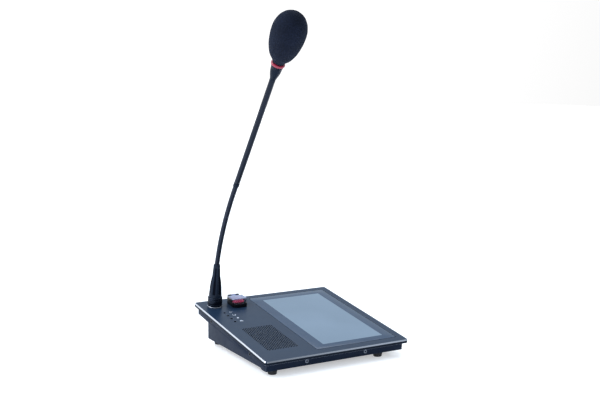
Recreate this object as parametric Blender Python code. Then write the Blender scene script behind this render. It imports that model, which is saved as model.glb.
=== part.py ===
"""Touch-screen paging console with a plug-in gooseneck microphone.

The console is a shallow wedge: a flat faceplate, tilted towards the user, on a
sheet housing that stands on four rubber feet. The microphone plugs into the
rear left corner of the faceplate. Its neck bends forward over the console.

Frame: +X to the user's right, +Y away from the user, +Z up, metres. The origin
is on the table, under the middle of the object's box.
"""

import math

import bmesh
import bpy
from mathutils import Matrix, Vector

GAP = 0.0003                      # between pieces that touch

# Faceplate, measured along its slope from its front left corner
PLATE_WIDTH = 0.200
PLATE_DEPTH = 0.202
PLATE_THICKNESS = 0.003
PLATE_RIM_DEPTH = 0.0046          # the turned-down edge
PLATE_RIM_WIDTH = 0.0025
PLATE_CORNER = 0.004
PLATE_CHAMFER = 0.0012
PLATE_TILT = math.radians(8.0)
PLATE_FRONT_Y = -0.0822
PLATE_FRONT_Z = 0.0192

# Display
GLASS_BOX = (0.0753, 0.0125, 0.1893, 0.1915)
GLASS_THICKNESS = 0.0011
GLASS_CORNER = 0.0025
WINDOW_BOX = (0.0873, 0.0205, 0.1791, 0.1827)
LCD_THICKNESS = 0.0032
BRACKET_MARGIN = 0.0045
BRACKET_THICKNESS = 0.001

# Loudspeaker behind the perforations
GRILLE_BOX = (0.0196, 0.0295, 0.0596, 0.1000)
GRILLE_PITCH = 0.005
GRILLE_HOLE = 0.0013
SPEAKER_RADIUS = 0.0198
CLOTH_THICKNESS = 0.0004

# Status lights
LIGHT_U = 0.0220
LIGHT_FIRST_V = 0.1235
LIGHT_PITCH = 0.0104
LIGHT_COUNT = 4
LIGHT_HOLE = 0.0017
LIGHT_PIPE = 0.0013

# Housing, as a side profile; depths are from the faceplate's front edge
HOUSING_HALF_WIDTH = 0.0955
WALL = 0.002
FRONT_DEPTH = 0.0082
LIP_DEPTH = 0.018
LIP_END_DEPTH = 0.022
FLANGE_END_DEPTH = 0.0245          # of the floor behind the front wall
LOWER_REAR_DEPTH = 0.1655
UPPER_REAR_DEPTH = 0.1957
FRONT_LOW_Z = 0.0050
LOW_Z = 0.0069
STEP_LOW_Z = 0.0277
STEP_HIGH_Z = 0.0323
COVER_THICKNESS = 0.0012
POST_RADIUS = 0.0026
POST_HEIGHT = 0.0026

# Feet
FOOT_X = (-0.084, 0.063)
FOOT_DEPTHS = (0.0140, 0.1580)
FOOT_TOP_RADIUS = 0.0058
FOOT_LOW_RADIUS = 0.0052
FOOT_BORE = 0.0017

# Main board and the rear sockets
BOARD_BOX = (-0.034, 0.055, 0.088, 0.1629)
BOARD_THICKNESS = 0.0016
NETWORK_X = 0.030
NETWORK_SIZE = (0.0160, 0.0210, 0.0134)
NETWORK_HOLE = (0.0118, 0.0130, 0.0082)
POWER_X = 0.060
POWER_SIZE = (0.0090, 0.0140, 0.0110)
POWER_HOLE = 0.0031
POWER_PIN = 0.0010

# Screws in the walls
WALL_SCREW_RADIUS = 0.0021
WALL_SCREW_DROP = 0.0103          # below the top of the faceplate
FRONT_SCREW_X = 0.041
SIDE_SCREW_DEPTHS = (0.0488, 0.1560)

# Guarded button, in the faceplate's own plane
BUTTON_U = 0.0507
BUTTON_V = 0.1771
BUTTON_SIZE = (0.0204, 0.0238)
BUTTON_RISE = 0.0052
BUTTON_DROP = 0.0090
BUTTON_CORNER = 0.0042
BUTTON_BODY = (0.0166, 0.0172)
CAP_SIDE = 0.0132
CAP_TOP = 0.0078
CAP_TRAVEL = 0.0020
CAP_V = 0.1778
HINGE_V = 0.1869
HINGE_W = 0.0092
HINGE_PIN = 0.00075
KNUCKLE = 0.0020
LID_THICKNESS = 0.0010
LID_TOP = 0.0105
LID_FRONT_V = 0.1698
LID_SKIRT_THICKNESS = 0.0008
LID_LIP = 0.0005
GUARD_BOX = (0.0082, 0.1715, 0.0101, 0.1860)   # right wall; u from the button's middle
GUARD_TOP = 0.0086

# Microphone plug, along the normal of the faceplate
MIC_U = 0.0206
MIC_V = 0.1815
RING_INNER = 0.0085
RING_OUTER = 0.0098
RING_HEIGHT = 0.0012
SOCKET_RADIUS = 0.0079
SOCKET_RISE = 0.0100
SOCKET_DROP = 0.0110
SOCKET_FLANGE = 0.0116
COLLAR_RADIUS = 0.0095
COLLAR_LOW = 0.0015
COLLAR_INNER = 0.0083
COLLAR_TOP = 0.0131
PIN_CIRCLE = 0.0045
PIN_RADIUS = 0.0012
PIN_HOLE = 0.0015
BOOT_TOP = 0.0565
BOOT_BORE = 0.0036

# Flexible neck: its lean from upright grows along its length
NECK_RADIUS = 0.0032
NECK_LENGTH = 0.1205
NECK_START_LEAN = math.radians(16.5)
NECK_END_LEAN = math.radians(36.0)
NECK_LEAN_POWER = 1.3
NECK_JOINTS = 5
CUP_RADIUS = 0.0035               # a link's hollow end, around the last one's ball

# Straight upper stem and head, measured along the stem from the neck's end
FERRULE_RADIUS = 0.0037
FERRULE_LENGTH = 0.006
STEM_RADIUS = 0.0035
STEM_BORE = 0.0022
STEM_LENGTH = 0.161
CONE_TOP = 0.1798
CONE_TOP_RADIUS = 0.0070
LIGHT_RING_TOP = 0.1835
LIGHT_RING_RADIUS = 0.0082
HOLDER_RADIUS = 0.0066
HOLDER_TOP = 0.2060
HOLDER_BORE = 0.0044
HOLDER_SEAT = 0.0040
CAPSULE_RADIUS = 0.0048
CAPSULE_TOP = 0.2150
FOAM_LOW = 0.1855
FOAM_LOW_RADIUS = 0.0078
FOAM_WIDEST = 0.2234
FOAM_TIP = 0.2482
FOAM_RADIUS = 0.0196
FOAM_LOWER_HALF = 0.0395
FOAM_BORE = 0.0071
FOAM_BORE_TOP = 0.2185

FINE_STEPS = 28
ROUND_STEPS = 20
SMALL_STEPS = 12


# ---------------------------------------------------------------- frames

FRAMES = {}


def make_frame(name, matrix, parent=None):
    """An empty at a place given in world coordinates, under another frame."""
    empty = bpy.data.objects.new(name, None)
    bpy.context.scene.collection.objects.link(empty)
    empty.empty_display_size = 0.01
    if parent is None:
        empty.matrix_basis = matrix
    else:
        empty.parent = FRAMES[parent][0]
        empty.matrix_basis = FRAMES[parent][1].inverted() @ matrix
    FRAMES[name] = (empty, matrix)
    return matrix


def plate_matrix():
    """The faceplate's frame: X across, Y up the slope, Z out of its top face."""
    corner = Matrix.Translation((-PLATE_WIDTH / 2, PLATE_FRONT_Y, PLATE_FRONT_Z))
    return corner @ Matrix.Rotation(PLATE_TILT, 4, "X")


def on_plate(u, v, w=0.0):
    """World matrix of a place on the faceplate."""
    return plate_matrix() @ Matrix.Translation((u, v, w))


def leaning_matrix(point, lean):
    """World matrix whose Z leans forward from upright by an angle."""
    return Matrix.Translation(point) @ Matrix.Rotation(lean, 4, "X")


def depth_y(depth):
    """World Y of a depth behind the faceplate's front edge."""
    return PLATE_FRONT_Y + depth


def underside_z(depth):
    """Height of the housing's top edge, just under the faceplate."""
    rise = depth * math.tan(PLATE_TILT)
    return PLATE_FRONT_Z + rise - (PLATE_THICKNESS + GAP) / math.cos(PLATE_TILT)


# ---------------------------------------------------------------- materials

def material(name, colour, roughness, metallic=0.0, alpha=1.0):
    found = bpy.data.materials.get(name)
    if found:
        return found
    made = bpy.data.materials.new(name)
    made.use_nodes = True
    shader = made.node_tree.nodes["Principled BSDF"]
    shader.inputs["Base Color"].default_value = (*colour, 1.0)
    shader.inputs["Roughness"].default_value = roughness
    shader.inputs["Metallic"].default_value = metallic
    shader.inputs["Alpha"].default_value = alpha
    return made


def dark_anodised():
    return material("dark_anodised", (0.040, 0.052, 0.075), 0.42, 0.6)


def black_paint():
    return material("black_paint", (0.018, 0.022, 0.032), 0.5)


def black_plastic():
    return material("black_plastic", (0.012, 0.014, 0.020), 0.45)


def black_rubber():
    return material("black_rubber", (0.015, 0.015, 0.018), 0.85)


def foam():
    return material("foam", (0.012, 0.018, 0.030), 0.95)


def plated_metal():
    return material("plated_metal", (0.80, 0.82, 0.86), 0.2, 1.0)


def dark_steel():
    return material("dark_steel", (0.10, 0.11, 0.13), 0.35, 1.0)


def steel():
    return material("steel", (0.55, 0.56, 0.58), 0.35, 1.0)


def glass():
    return material("glass", (0.085, 0.115, 0.170), 0.06)


def screen():
    return material("screen", (0.28, 0.38, 0.50), 0.25)


def red_plastic():
    return material("red_plastic", (0.40, 0.03, 0.07), 0.3)


def clear_plastic():
    return material("clear_plastic", (0.70, 0.78, 0.92), 0.1, 0.0, 0.35)


def circuit_board():
    return material("circuit_board", (0.02, 0.12, 0.06), 0.5)


def gold():
    return material("gold", (0.85, 0.62, 0.25), 0.25, 1.0)


def paper():
    return material("paper", (0.05, 0.05, 0.055), 0.9)


# ---------------------------------------------------------------- mesh tools

def add(name, bm, finish, frame=None, smooth=False):
    """Turns a bmesh, given in its frame's coordinates, into a named object."""
    bmesh.ops.recalc_face_normals(bm, faces=bm.faces)
    mesh = bpy.data.meshes.new(name)
    bm.to_mesh(mesh)
    bm.free()
    mesh.materials.append(finish)
    if smooth:
        mesh.shade_smooth()
        mesh.set_sharp_from_angle(angle=math.radians(35))
    made = bpy.data.objects.new(name, mesh)
    bpy.context.scene.collection.objects.link(made)
    if frame is not None:
        made.parent = FRAMES[frame][0]
    return made


def cut(target, bm, label):
    """Takes a shape, given in the target's own coordinates, out of it."""
    cutter = add(f"cutter_{label}", bm, black_plastic())
    cutter.parent = target.parent
    cutter.hide_render = True
    cutter.display_type = "WIRE"
    boolean = target.modifiers.new(label, "BOOLEAN")
    boolean.operation = "DIFFERENCE"
    boolean.object = cutter


def circle(radius, height, steps, centre=(0.0, 0.0)):
    turn = 2 * math.pi / steps
    return [
        (centre[0] + radius * math.cos(k * turn), centre[1] + radius * math.sin(k * turn), height)
        for k in range(steps)
    ]


def rounded_box(box, radius, steps=4):
    """Outline of a rectangle (low u, low v, high u, high v) with round corners."""
    low_u, low_v, high_u, high_v = box
    corners = (
        (high_u - radius, low_v + radius, -90),
        (high_u - radius, high_v - radius, 0),
        (low_u + radius, high_v - radius, 90),
        (low_u + radius, low_v + radius, 180),
    )
    outline = []
    for u, v, start in corners:
        for k in range(steps + 1):
            angle = math.radians(start + 90 * k / steps)
            outline.append((u + radius * math.cos(angle), v + radius * math.sin(angle)))
    return outline


def grown(box, margin):
    return (box[0] - margin, box[1] - margin, box[2] + margin, box[3] + margin)


def stacked(layers, bm=None):
    """A closed solid through outlines of equal point count, one over another."""
    bm = bm or bmesh.new()
    rings = [[bm.verts.new((*point[:2], height)) for point in outline] for outline, height in layers]
    count = len(rings[0])
    for low, high in zip(rings, rings[1:]):
        for k in range(count):
            j = (k + 1) % count
            bm.faces.new((low[k], low[j], high[j], high[k]))
    bm.faces.new(rings[0][::-1])
    bm.faces.new(rings[-1])
    return bm


def slab(box, low, high, radius=None, bm=None):
    outline = rounded_box(box, radius) if radius else [
        (box[0], box[1]), (box[2], box[1]), (box[2], box[3]), (box[0], box[3])
    ]
    return stacked([(outline, low), (outline, high)], bm)


def disc(radius, low, high, steps=ROUND_STEPS, centre=(0.0, 0.0), bm=None):
    outline = circle(radius, 0.0, steps, centre)
    return stacked([(outline, low), (outline, high)], bm)


def ring_of(bm, radius, height, steps):
    if radius < 1e-7:
        return [bm.verts.new((0.0, 0.0, height))]
    return [bm.verts.new(point) for point in circle(radius, height, steps)]


def bridge(bm, low, high):
    """Quads, or triangles where one ring is a point, between two rings."""
    count = max(len(low), len(high))
    for k in range(count):
        j = (k + 1) % count
        if len(low) == 1:
            bm.faces.new((low[0], high[j], high[k]))
        elif len(high) == 1:
            bm.faces.new((low[k], low[j], high[0]))
        else:
            bm.faces.new((low[k], low[j], high[j], high[k]))


def turned(profile, steps=ROUND_STEPS, closed=False):
    """Solid of revolution about Z through (radius, height) points.

    An open profile starts and ends on the axis, or is capped flat there. A
    closed one makes a tube.
    """
    bm = bmesh.new()
    rings = [ring_of(bm, radius, height, steps) for radius, height in profile]
    for low, high in zip(rings, rings[1:]):
        bridge(bm, low, high)
    if closed:
        bridge(bm, rings[-1], rings[0])
        return bm
    for end in (rings[0], rings[-1]):
        if len(end) > 1:
            bm.faces.new(end)
    return bm


def swept(stations, frame, steps=ROUND_STEPS):
    """Solid through rings (world centre, direction, radius), in a frame."""
    bm = bmesh.new()
    inverse = FRAMES[frame][1].inverted()
    rings = []
    for centre, direction, radius in stations:
        side = Vector((1.0, 0.0, 0.0))
        across = direction.cross(side).normalized()
        if radius < 1e-7:
            rings.append([bm.verts.new(inverse @ centre)])
            continue
        points = [centre + side * x + across * y for x, y, _ in circle(radius, 0.0, steps)]
        rings.append([bm.verts.new(inverse @ point) for point in points])
    for low, high in zip(rings, rings[1:]):
        bridge(bm, low, high)
    for end in (rings[0], rings[-1]):
        if len(end) > 1:
            bm.faces.new(end)
    return bm


# ---------------------------------------------------------------- faceplate

def grille_holes():
    """One hexagonal cutter for each perforation."""
    bm = bmesh.new()
    low_u, low_v, high_u, high_v = GRILLE_BOX
    columns = round((high_u - low_u) / GRILLE_PITCH)
    rows = round((high_v - low_v) / GRILLE_PITCH)
    for i in range(columns):
        for j in range(rows):
            centre = (
                low_u + (i + 0.5) * (high_u - low_u) / columns,
                low_v + (j + 0.5) * (high_v - low_v) / rows,
            )
            disc(GRILLE_HOLE, -0.006, 0.002, 6, centre, bm)
    return bm


def light_centres():
    return [(LIGHT_U, LIGHT_FIRST_V + k * LIGHT_PITCH) for k in range(LIGHT_COUNT)]


def button_box(size, centre_v=BUTTON_V):
    return (
        BUTTON_U - size[0] / 2, centre_v - size[1] / 2,
        BUTTON_U + size[0] / 2, centre_v + size[1] / 2,
    )


def build_faceplate():
    box = (0.0, 0.0, PLATE_WIDTH, PLATE_DEPTH)
    outline = rounded_box(box, PLATE_CORNER)
    top = rounded_box(grown(box, -PLATE_CHAMFER), PLATE_CORNER - PLATE_CHAMFER)
    layers = [(outline, -PLATE_RIM_DEPTH), (outline, -PLATE_CHAMFER), (top, 0.0)]
    plate = add("faceplate", stacked(layers), dark_anodised(), "plate_frame")
    inside = grown(box, -PLATE_RIM_WIDTH)
    cut(plate, slab(inside, -0.009, -PLATE_THICKNESS, 0.0015), "rim")
    pocket = grown(GLASS_BOX, GAP)
    cut(plate, slab(pocket, -GLASS_THICKNESS - GAP, 0.002, GLASS_CORNER + GAP), "glass_pocket")
    cut(plate, slab(WINDOW_BOX, -0.006, 0.001), "window")
    cut(plate, grille_holes(), "perforations")
    holes = bmesh.new()
    disc(SOCKET_RADIUS + GAP, -0.006, 0.002, ROUND_STEPS, (MIC_U, MIC_V), holes)
    for centre in light_centres():
        disc(LIGHT_HOLE, -0.006, 0.002, SMALL_STEPS, centre, holes)
    slab(grown(button_box(BUTTON_BODY), GAP), -0.006, 0.002, None, holes)
    cut(plate, holes, "openings")


# ---------------------------------------------------------------- display

def build_display():
    sheet = slab(GLASS_BOX, -GLASS_THICKNESS, 0.0, GLASS_CORNER)
    add("display_glass", sheet, glass(), "plate_frame")
    top = -GLASS_THICKNESS - GAP
    panel = slab(grown(WINDOW_BOX, -GAP), top - LCD_THICKNESS, top)
    add("lcd_panel", panel, screen(), "plate_frame")
    low = top - LCD_THICKNESS - GAP
    bracket = slab(grown(WINDOW_BOX, BRACKET_MARGIN), low - BRACKET_THICKNESS, low, 0.003)
    add("display_bracket", bracket, steel(), "plate_frame")


# ---------------------------------------------------------------- speaker and lights

def build_speaker():
    centre_u = (GRILLE_BOX[0] + GRILLE_BOX[2]) / 2
    centre_v = (GRILLE_BOX[1] + GRILLE_BOX[3]) / 2
    top = -PLATE_THICKNESS - GAP
    cloth = slab(grown(GRILLE_BOX, 0.002), top - CLOTH_THICKNESS, top, 0.002)
    add("grille_cloth", cloth, paper(), "plate_frame")
    seat = top - CLOTH_THICKNESS - GAP
    make_frame("speaker_frame_centre", on_plate(centre_u, centre_v, seat), "plate_frame")
    basket = [
        (0.0180, 0.0), (SPEAKER_RADIUS, 0.0), (SPEAKER_RADIUS, -0.0012), (0.0175, -0.0014),
        (0.0110, -0.0085), (0.0060, -0.0085), (0.0060, -0.0077), (0.0104, -0.0077),
    ]
    add("speaker_basket", turned(basket, FINE_STEPS, True), steel(), "speaker_frame_centre", True)
    diaphragm = [
        (0.0, -0.0030), (0.0052, -0.0036), (0.0068, -0.0050), (0.0162, -0.0009),
        (0.0174, -0.0003), (0.0168, -0.0012), (0.0070, -0.0057), (0.0050, -0.0062),
        (0.0050, -0.0072), (0.0, -0.0072),
    ]
    add("speaker_cone", turned(diaphragm, FINE_STEPS), paper(), "speaker_frame_centre", True)
    magnet = [(0.0, -0.0132), (0.0095, -0.0132), (0.0095, -0.0088), (0.0, -0.0088)]
    add("speaker_magnet", turned(magnet, FINE_STEPS), dark_steel(), "speaker_frame_centre", True)


def build_status_lights():
    shoulder = -PLATE_THICKNESS - GAP
    pipe = [
        (0.0, -0.0062), (LIGHT_PIPE, -0.0062), (LIGHT_PIPE, shoulder - 0.001), (0.0021, shoulder - 0.001),
        (0.0021, shoulder), (LIGHT_PIPE, shoulder), (LIGHT_PIPE, -0.0006), (0.0, -0.0003),
    ]
    for number, (u, v) in enumerate(light_centres(), 1):
        frame = f"light_{number}_centre"
        make_frame(frame, on_plate(u, v), "plate_frame")
        add(f"light_pipe_{number}", turned(pipe, SMALL_STEPS), clear_plastic(), frame, True)
    last_v = LIGHT_FIRST_V + (LIGHT_COUNT - 1) * LIGHT_PITCH
    box = (LIGHT_U - 0.006, LIGHT_FIRST_V - 0.006, LIGHT_U + 0.006, last_v + 0.006)
    add("light_board", slab(box, -0.0081, -0.0065), circuit_board(), "plate_frame")


# ---------------------------------------------------------------- housing

def housing_profile():
    """Side view, as (world y, z) points."""
    front = 0.0070
    return [
        (depth_y(FRONT_DEPTH), FRONT_LOW_Z),
        (depth_y(LIP_DEPTH), FRONT_LOW_Z),
        (depth_y(LIP_END_DEPTH), LOW_Z),
        (depth_y(LOWER_REAR_DEPTH), LOW_Z),
        (depth_y(LOWER_REAR_DEPTH), STEP_LOW_Z),
        (depth_y(UPPER_REAR_DEPTH), STEP_HIGH_Z),
        (depth_y(UPPER_REAR_DEPTH), underside_z(UPPER_REAR_DEPTH)),
        (depth_y(front), underside_z(front)),
    ]


def inner_profile():
    """The hollow, open above, and open below behind the front flange."""
    low, high = -0.010, 0.080
    rise = (STEP_HIGH_Z - STEP_LOW_Z) / (UPPER_REAR_DEPTH - LOWER_REAR_DEPTH)
    step_low = STEP_LOW_Z + WALL - rise * WALL
    step_high = STEP_HIGH_Z + WALL - rise * WALL
    return [
        (depth_y(FRONT_DEPTH + WALL), FRONT_LOW_Z + WALL),
        (depth_y(LIP_DEPTH - 0.0008), FRONT_LOW_Z + WALL),
        (depth_y(LIP_END_DEPTH - 0.0008), LOW_Z + WALL),
        (depth_y(FLANGE_END_DEPTH), LOW_Z + WALL),
        (depth_y(FLANGE_END_DEPTH), low),
        (depth_y(LOWER_REAR_DEPTH - WALL), low),
        (depth_y(LOWER_REAR_DEPTH - WALL), step_low),
        (depth_y(UPPER_REAR_DEPTH - WALL), step_high),
        (depth_y(UPPER_REAR_DEPTH - WALL), high),
        (depth_y(FRONT_DEPTH + WALL), high),
    ]


def across(profile, half_width):
    """A side profile drawn out to both sides of the middle."""
    bm = bmesh.new()
    sides = [[bm.verts.new((x, y, z)) for y, z in profile] for x in (-half_width, half_width)]
    count = len(profile)
    for k in range(count):
        j = (k + 1) % count
        bm.faces.new((sides[0][k], sides[0][j], sides[1][j], sides[1][k]))
    bm.faces.new(sides[0])
    bm.faces.new(sides[1])
    return bm


def box_mesh(centre, size, bm=None):
    """A box by its centre and full size, in world directions."""
    x, y, z = centre
    half = [side / 2 for side in size]
    outline = (x - half[0], y - half[1], x + half[0], y + half[1])
    return slab(outline, z - half[2], z + half[2], None, bm)


def wall_screws():
    """(name, centre on the wall's outer face, outward direction) of each."""
    screws = []
    for side, sign in (("left", -1), ("right", 1)):
        z = PLATE_FRONT_Z + FRONT_DEPTH * math.tan(PLATE_TILT) - WALL_SCREW_DROP
        centre = Vector((sign * FRONT_SCREW_X, depth_y(FRONT_DEPTH), z))
        screws.append((f"front_screw_{side}", centre, Vector((0, -1, 0))))
        for number, depth in enumerate(SIDE_SCREW_DEPTHS, 1):
            z = PLATE_FRONT_Z + depth * math.tan(PLATE_TILT) - WALL_SCREW_DROP
            centre = Vector((sign * HOUSING_HALF_WIDTH, depth_y(depth), z))
            screws.append((f"{side}_screw_{number}", centre, Vector((sign, 0, 0))))
    return screws


def outward_matrix(centre, direction):
    return Matrix.Translation(centre) @ direction.to_track_quat("Z", "Y").to_matrix().to_4x4()


def build_housing():
    body = add("housing", across(housing_profile(), HOUSING_HALF_WIDTH), black_paint())
    cut(body, across(inner_profile(), HOUSING_HALF_WIDTH - WALL), "hollow")
    ports = bmesh.new()
    for x, size in ((NETWORK_X, NETWORK_SIZE), (POWER_X, POWER_SIZE)):
        centre = (x, depth_y(LOWER_REAR_DEPTH), board_top() + GAP + size[2] / 2)
        box_mesh(centre, (size[0] + 2 * GAP, 0.012, size[2] + 2 * GAP), ports)
    cut(body, ports, "ports")
    holes = bmesh.new()
    for _, centre, direction in wall_screws():
        hole = disc(WALL_SCREW_RADIUS + GAP, -0.004, 0.002, SMALL_STEPS)
        hole.transform(outward_matrix(centre, direction))
        merge_into(holes, hole)
    for place, x, y in foot_places():
        if place.startswith("front"):
            disc(FOOT_BORE, 0.0, 0.02, SMALL_STEPS, (x, y), holes)
    cut(body, holes, "screw_holes")


def merge_into(target, other):
    mesh = bpy.data.meshes.new("part_of_cutter")
    other.to_mesh(mesh)
    other.free()
    target.from_mesh(mesh)
    bpy.data.meshes.remove(mesh)


def hex_recess(low, high, radius):
    return disc(radius, low, high, 6)


def build_wall_screws():
    """Countersunk screws with a hexagon recess, flush with the wall."""
    profile = [
        (0.0, -0.0060), (0.0010, -0.0060), (0.0010, -0.0022), (WALL_SCREW_RADIUS, -0.0010),
        (WALL_SCREW_RADIUS, 0.0001), (0.0, 0.0001),
    ]
    for name, centre, direction in wall_screws():
        frame = f"{name}_seat"
        make_frame(frame, outward_matrix(centre, direction))
        screw = add(name, turned(profile, SMALL_STEPS), steel(), frame, True)
        cut(screw, hex_recess(-0.0009, 0.001, 0.0011), f"{name}_recess")


def foot_places():
    """(name, x, y) of each foot."""
    return [
        (f"{end}_{side}", x, depth_y(depth))
        for end, depth in zip(("front", "rear"), FOOT_DEPTHS)
        for side, x in zip(("left", "right"), FOOT_X)
    ]


def board_low():
    return LOW_Z + COVER_THICKNESS + POST_HEIGHT + GAP


def board_top():
    return board_low() + BOARD_THICKNESS


def board_box():
    return (BOARD_BOX[0], depth_y(BOARD_BOX[1]), BOARD_BOX[2], depth_y(BOARD_BOX[3]))


def build_bottom_cover():
    side = HOUSING_HALF_WIDTH - WALL - GAP
    front = depth_y(FLANGE_END_DEPTH + GAP)
    rear = depth_y(LOWER_REAR_DEPTH - WALL - GAP)
    sheet = slab((-side, front, side, rear), LOW_Z, LOW_Z + COVER_THICKNESS)
    cover = add("bottom_cover", sheet, black_paint())
    low_x, low_y, high_x, high_y = grown(board_box(), -0.006)
    posts = bmesh.new()
    for x in (low_x, high_x):
        for y in (low_y, high_y):
            disc(POST_RADIUS, LOW_Z + 0.0004, board_low() - GAP, SMALL_STEPS, (x, y), posts)
    guide = add("cutter_posts", posts, black_plastic())
    guide.hide_render = True
    guide.display_type = "WIRE"
    union = cover.modifiers.new("posts", "BOOLEAN")
    union.operation = "UNION"
    union.object = guide
    holes = bmesh.new()
    for place, x, y in foot_places():
        if place.startswith("rear"):
            disc(FOOT_BORE, 0.0, 0.02, SMALL_STEPS, (x, y), holes)
    cut(cover, holes, "foot_holes")


def foot_profile(top):
    """A ring with a recess below for the screw's head."""
    return [
        (FOOT_BORE, 0.0026), (0.0031, 0.0026), (0.0031, 0.0), (FOOT_LOW_RADIUS - 0.0004, 0.0),
        (FOOT_LOW_RADIUS, 0.0005), (FOOT_TOP_RADIUS, top), (FOOT_BORE, top),
    ]


def build_feet():
    screw = [
        (0.0, 0.0008), (0.0024, 0.0008), (0.0026, 0.0014), (0.0026, 0.0023), (0.0013, 0.0023),
        (0.0013, 0.0092), (0.0, 0.0092),
    ]
    for place, x, y in foot_places():
        frame = f"foot_{place}_centre"
        make_frame(frame, Matrix.Translation((x, y, 0.0)))
        top = (FRONT_LOW_Z if place.startswith("front") else LOW_Z) - GAP
        foot = turned(foot_profile(top), ROUND_STEPS, True)
        add(f"foot_{place}", foot, black_rubber(), frame, True)
        add(f"foot_screw_{place}", turned(screw, SMALL_STEPS), steel(), frame, True)


def build_board_and_sockets():
    add("main_board", slab(board_box(), board_low(), board_top()), circuit_board())
    rear = depth_y(LOWER_REAR_DEPTH)
    low = board_top() + GAP
    body = box_mesh((NETWORK_X, rear - NETWORK_SIZE[1] / 2, low + NETWORK_SIZE[2] / 2), NETWORK_SIZE)
    network = add("network_socket", body, plated_metal())
    mouth = (NETWORK_HOLE[0], 2 * NETWORK_HOLE[1], NETWORK_HOLE[2])
    cut(network, box_mesh((NETWORK_X, rear, low + 0.0062), mouth), "network_mouth")
    body = box_mesh((POWER_X, rear - POWER_SIZE[1] / 2, low + POWER_SIZE[2] / 2), POWER_SIZE)
    power = add("power_socket", body, black_plastic())
    centre = Vector((POWER_X, rear, low + 0.0062))
    well = turned(
        [(POWER_PIN, -0.0100), (POWER_HOLE, -0.0100), (POWER_HOLE, 0.0010), (POWER_PIN, 0.0010)],
        SMALL_STEPS, True,
    )
    well.transform(outward_matrix(centre, Vector((0, 1, 0))))
    cut(power, well, "power_mouth")
    tip = disc(POWER_HOLE - GAP, -0.0020, 0.0020, SMALL_STEPS)
    tip.transform(outward_matrix(centre, Vector((0, 1, 0))))
    cut(power, tip, "power_pin_end")


# ---------------------------------------------------------------- guarded button

def knuckle_spans():
    """Places along the hinge, from the button's middle, of the bezel's two ears."""
    return ((-0.0090, -0.0052), (0.0018, 0.0062))


def along_hinge(radius, start, end, steps=SMALL_STEPS):
    """A round bar along the hinge axis, in the hinge's frame."""
    bm = disc(radius, start, end, steps)
    bm.transform(Matrix.Rotation(math.radians(90), 4, "Y"))
    return bm


def union(target, bm, label):
    guide = add(f"guide_{label}", bm, black_plastic())
    guide.parent = target.parent
    guide.hide_render = True
    guide.display_type = "WIRE"
    modifier = target.modifiers.new(label, "BOOLEAN")
    modifier.operation = "UNION"
    modifier.object = guide


def hinge_shift():
    """From the hinge's frame to the faceplate's."""
    return Matrix.Translation((BUTTON_U, HINGE_V, HINGE_W))


def build_button_bezel():
    box = button_box(BUTTON_SIZE)
    outline = rounded_box(box, BUTTON_CORNER)
    top = rounded_box(grown(box, -0.0005), BUTTON_CORNER - 0.0005)
    layers = [(outline, GAP), (outline, BUTTON_RISE - 0.0005), (top, BUTTON_RISE)]
    bezel = add("button_bezel", stacked(layers), black_plastic(), "plate_frame")
    union(bezel, slab(button_box(BUTTON_BODY), -BUTTON_DROP, 0.001), "bezel_body")
    for number, (start, end) in enumerate(knuckle_spans(), 1):
        ear = slab((start, -KNUCKLE, end, KNUCKLE), BUTTON_RISE - 0.001 - HINGE_W, 0.0)
        ear.transform(hinge_shift())
        union(bezel, ear, f"ear_{number}")
        knob = along_hinge(KNUCKLE, start, end, ROUND_STEPS)
        knob.transform(hinge_shift())
        union(bezel, knob, f"knuckle_{number}")
    bore = along_hinge(HINGE_PIN + GAP, -0.012, 0.012)
    bore.transform(hinge_shift())
    cut(bezel, bore, "hinge_bore")
    left, front, right, rear = GUARD_BOX
    for name, low, high in (("guard_left", -right, -left), ("guard_right", left, right)):
        box = (BUTTON_U + low, front, BUTTON_U + high, rear)
        union(bezel, slab(box, BUTTON_RISE - 0.001, GUARD_TOP), name)
    side = CAP_SIDE + 2 * GAP
    well = (BUTTON_U - side / 2, CAP_V - side / 2, BUTTON_U + side / 2, CAP_V + side / 2)
    cut(bezel, slab(well, -0.012, 0.012), "cap_well")


def build_button():
    half = CAP_SIDE / 2
    box = (-half, -half, half, half)
    layers = [
        (rounded_box(box, 0.0008), 0.0),
        (rounded_box(box, 0.0008), CAP_TOP - 0.0008),
        (rounded_box(grown(box, -0.0008), 0.0004), CAP_TOP),
    ]
    add("button_cap", stacked(layers), red_plastic(), "button_frame")
    dome = [
        (0.0, -0.0036), (0.0050, -0.0036), (0.0050, -0.0032), (0.0030, -0.0026), (0.0, -0.0024),
    ]
    add("button_dome", turned(dome, ROUND_STEPS), black_rubber(), "button_frame", True)
    switch = slab(grown(box, -0.0002), -BUTTON_DROP, -0.0039)
    add("button_switch", switch, black_plastic(), "button_frame")


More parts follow.
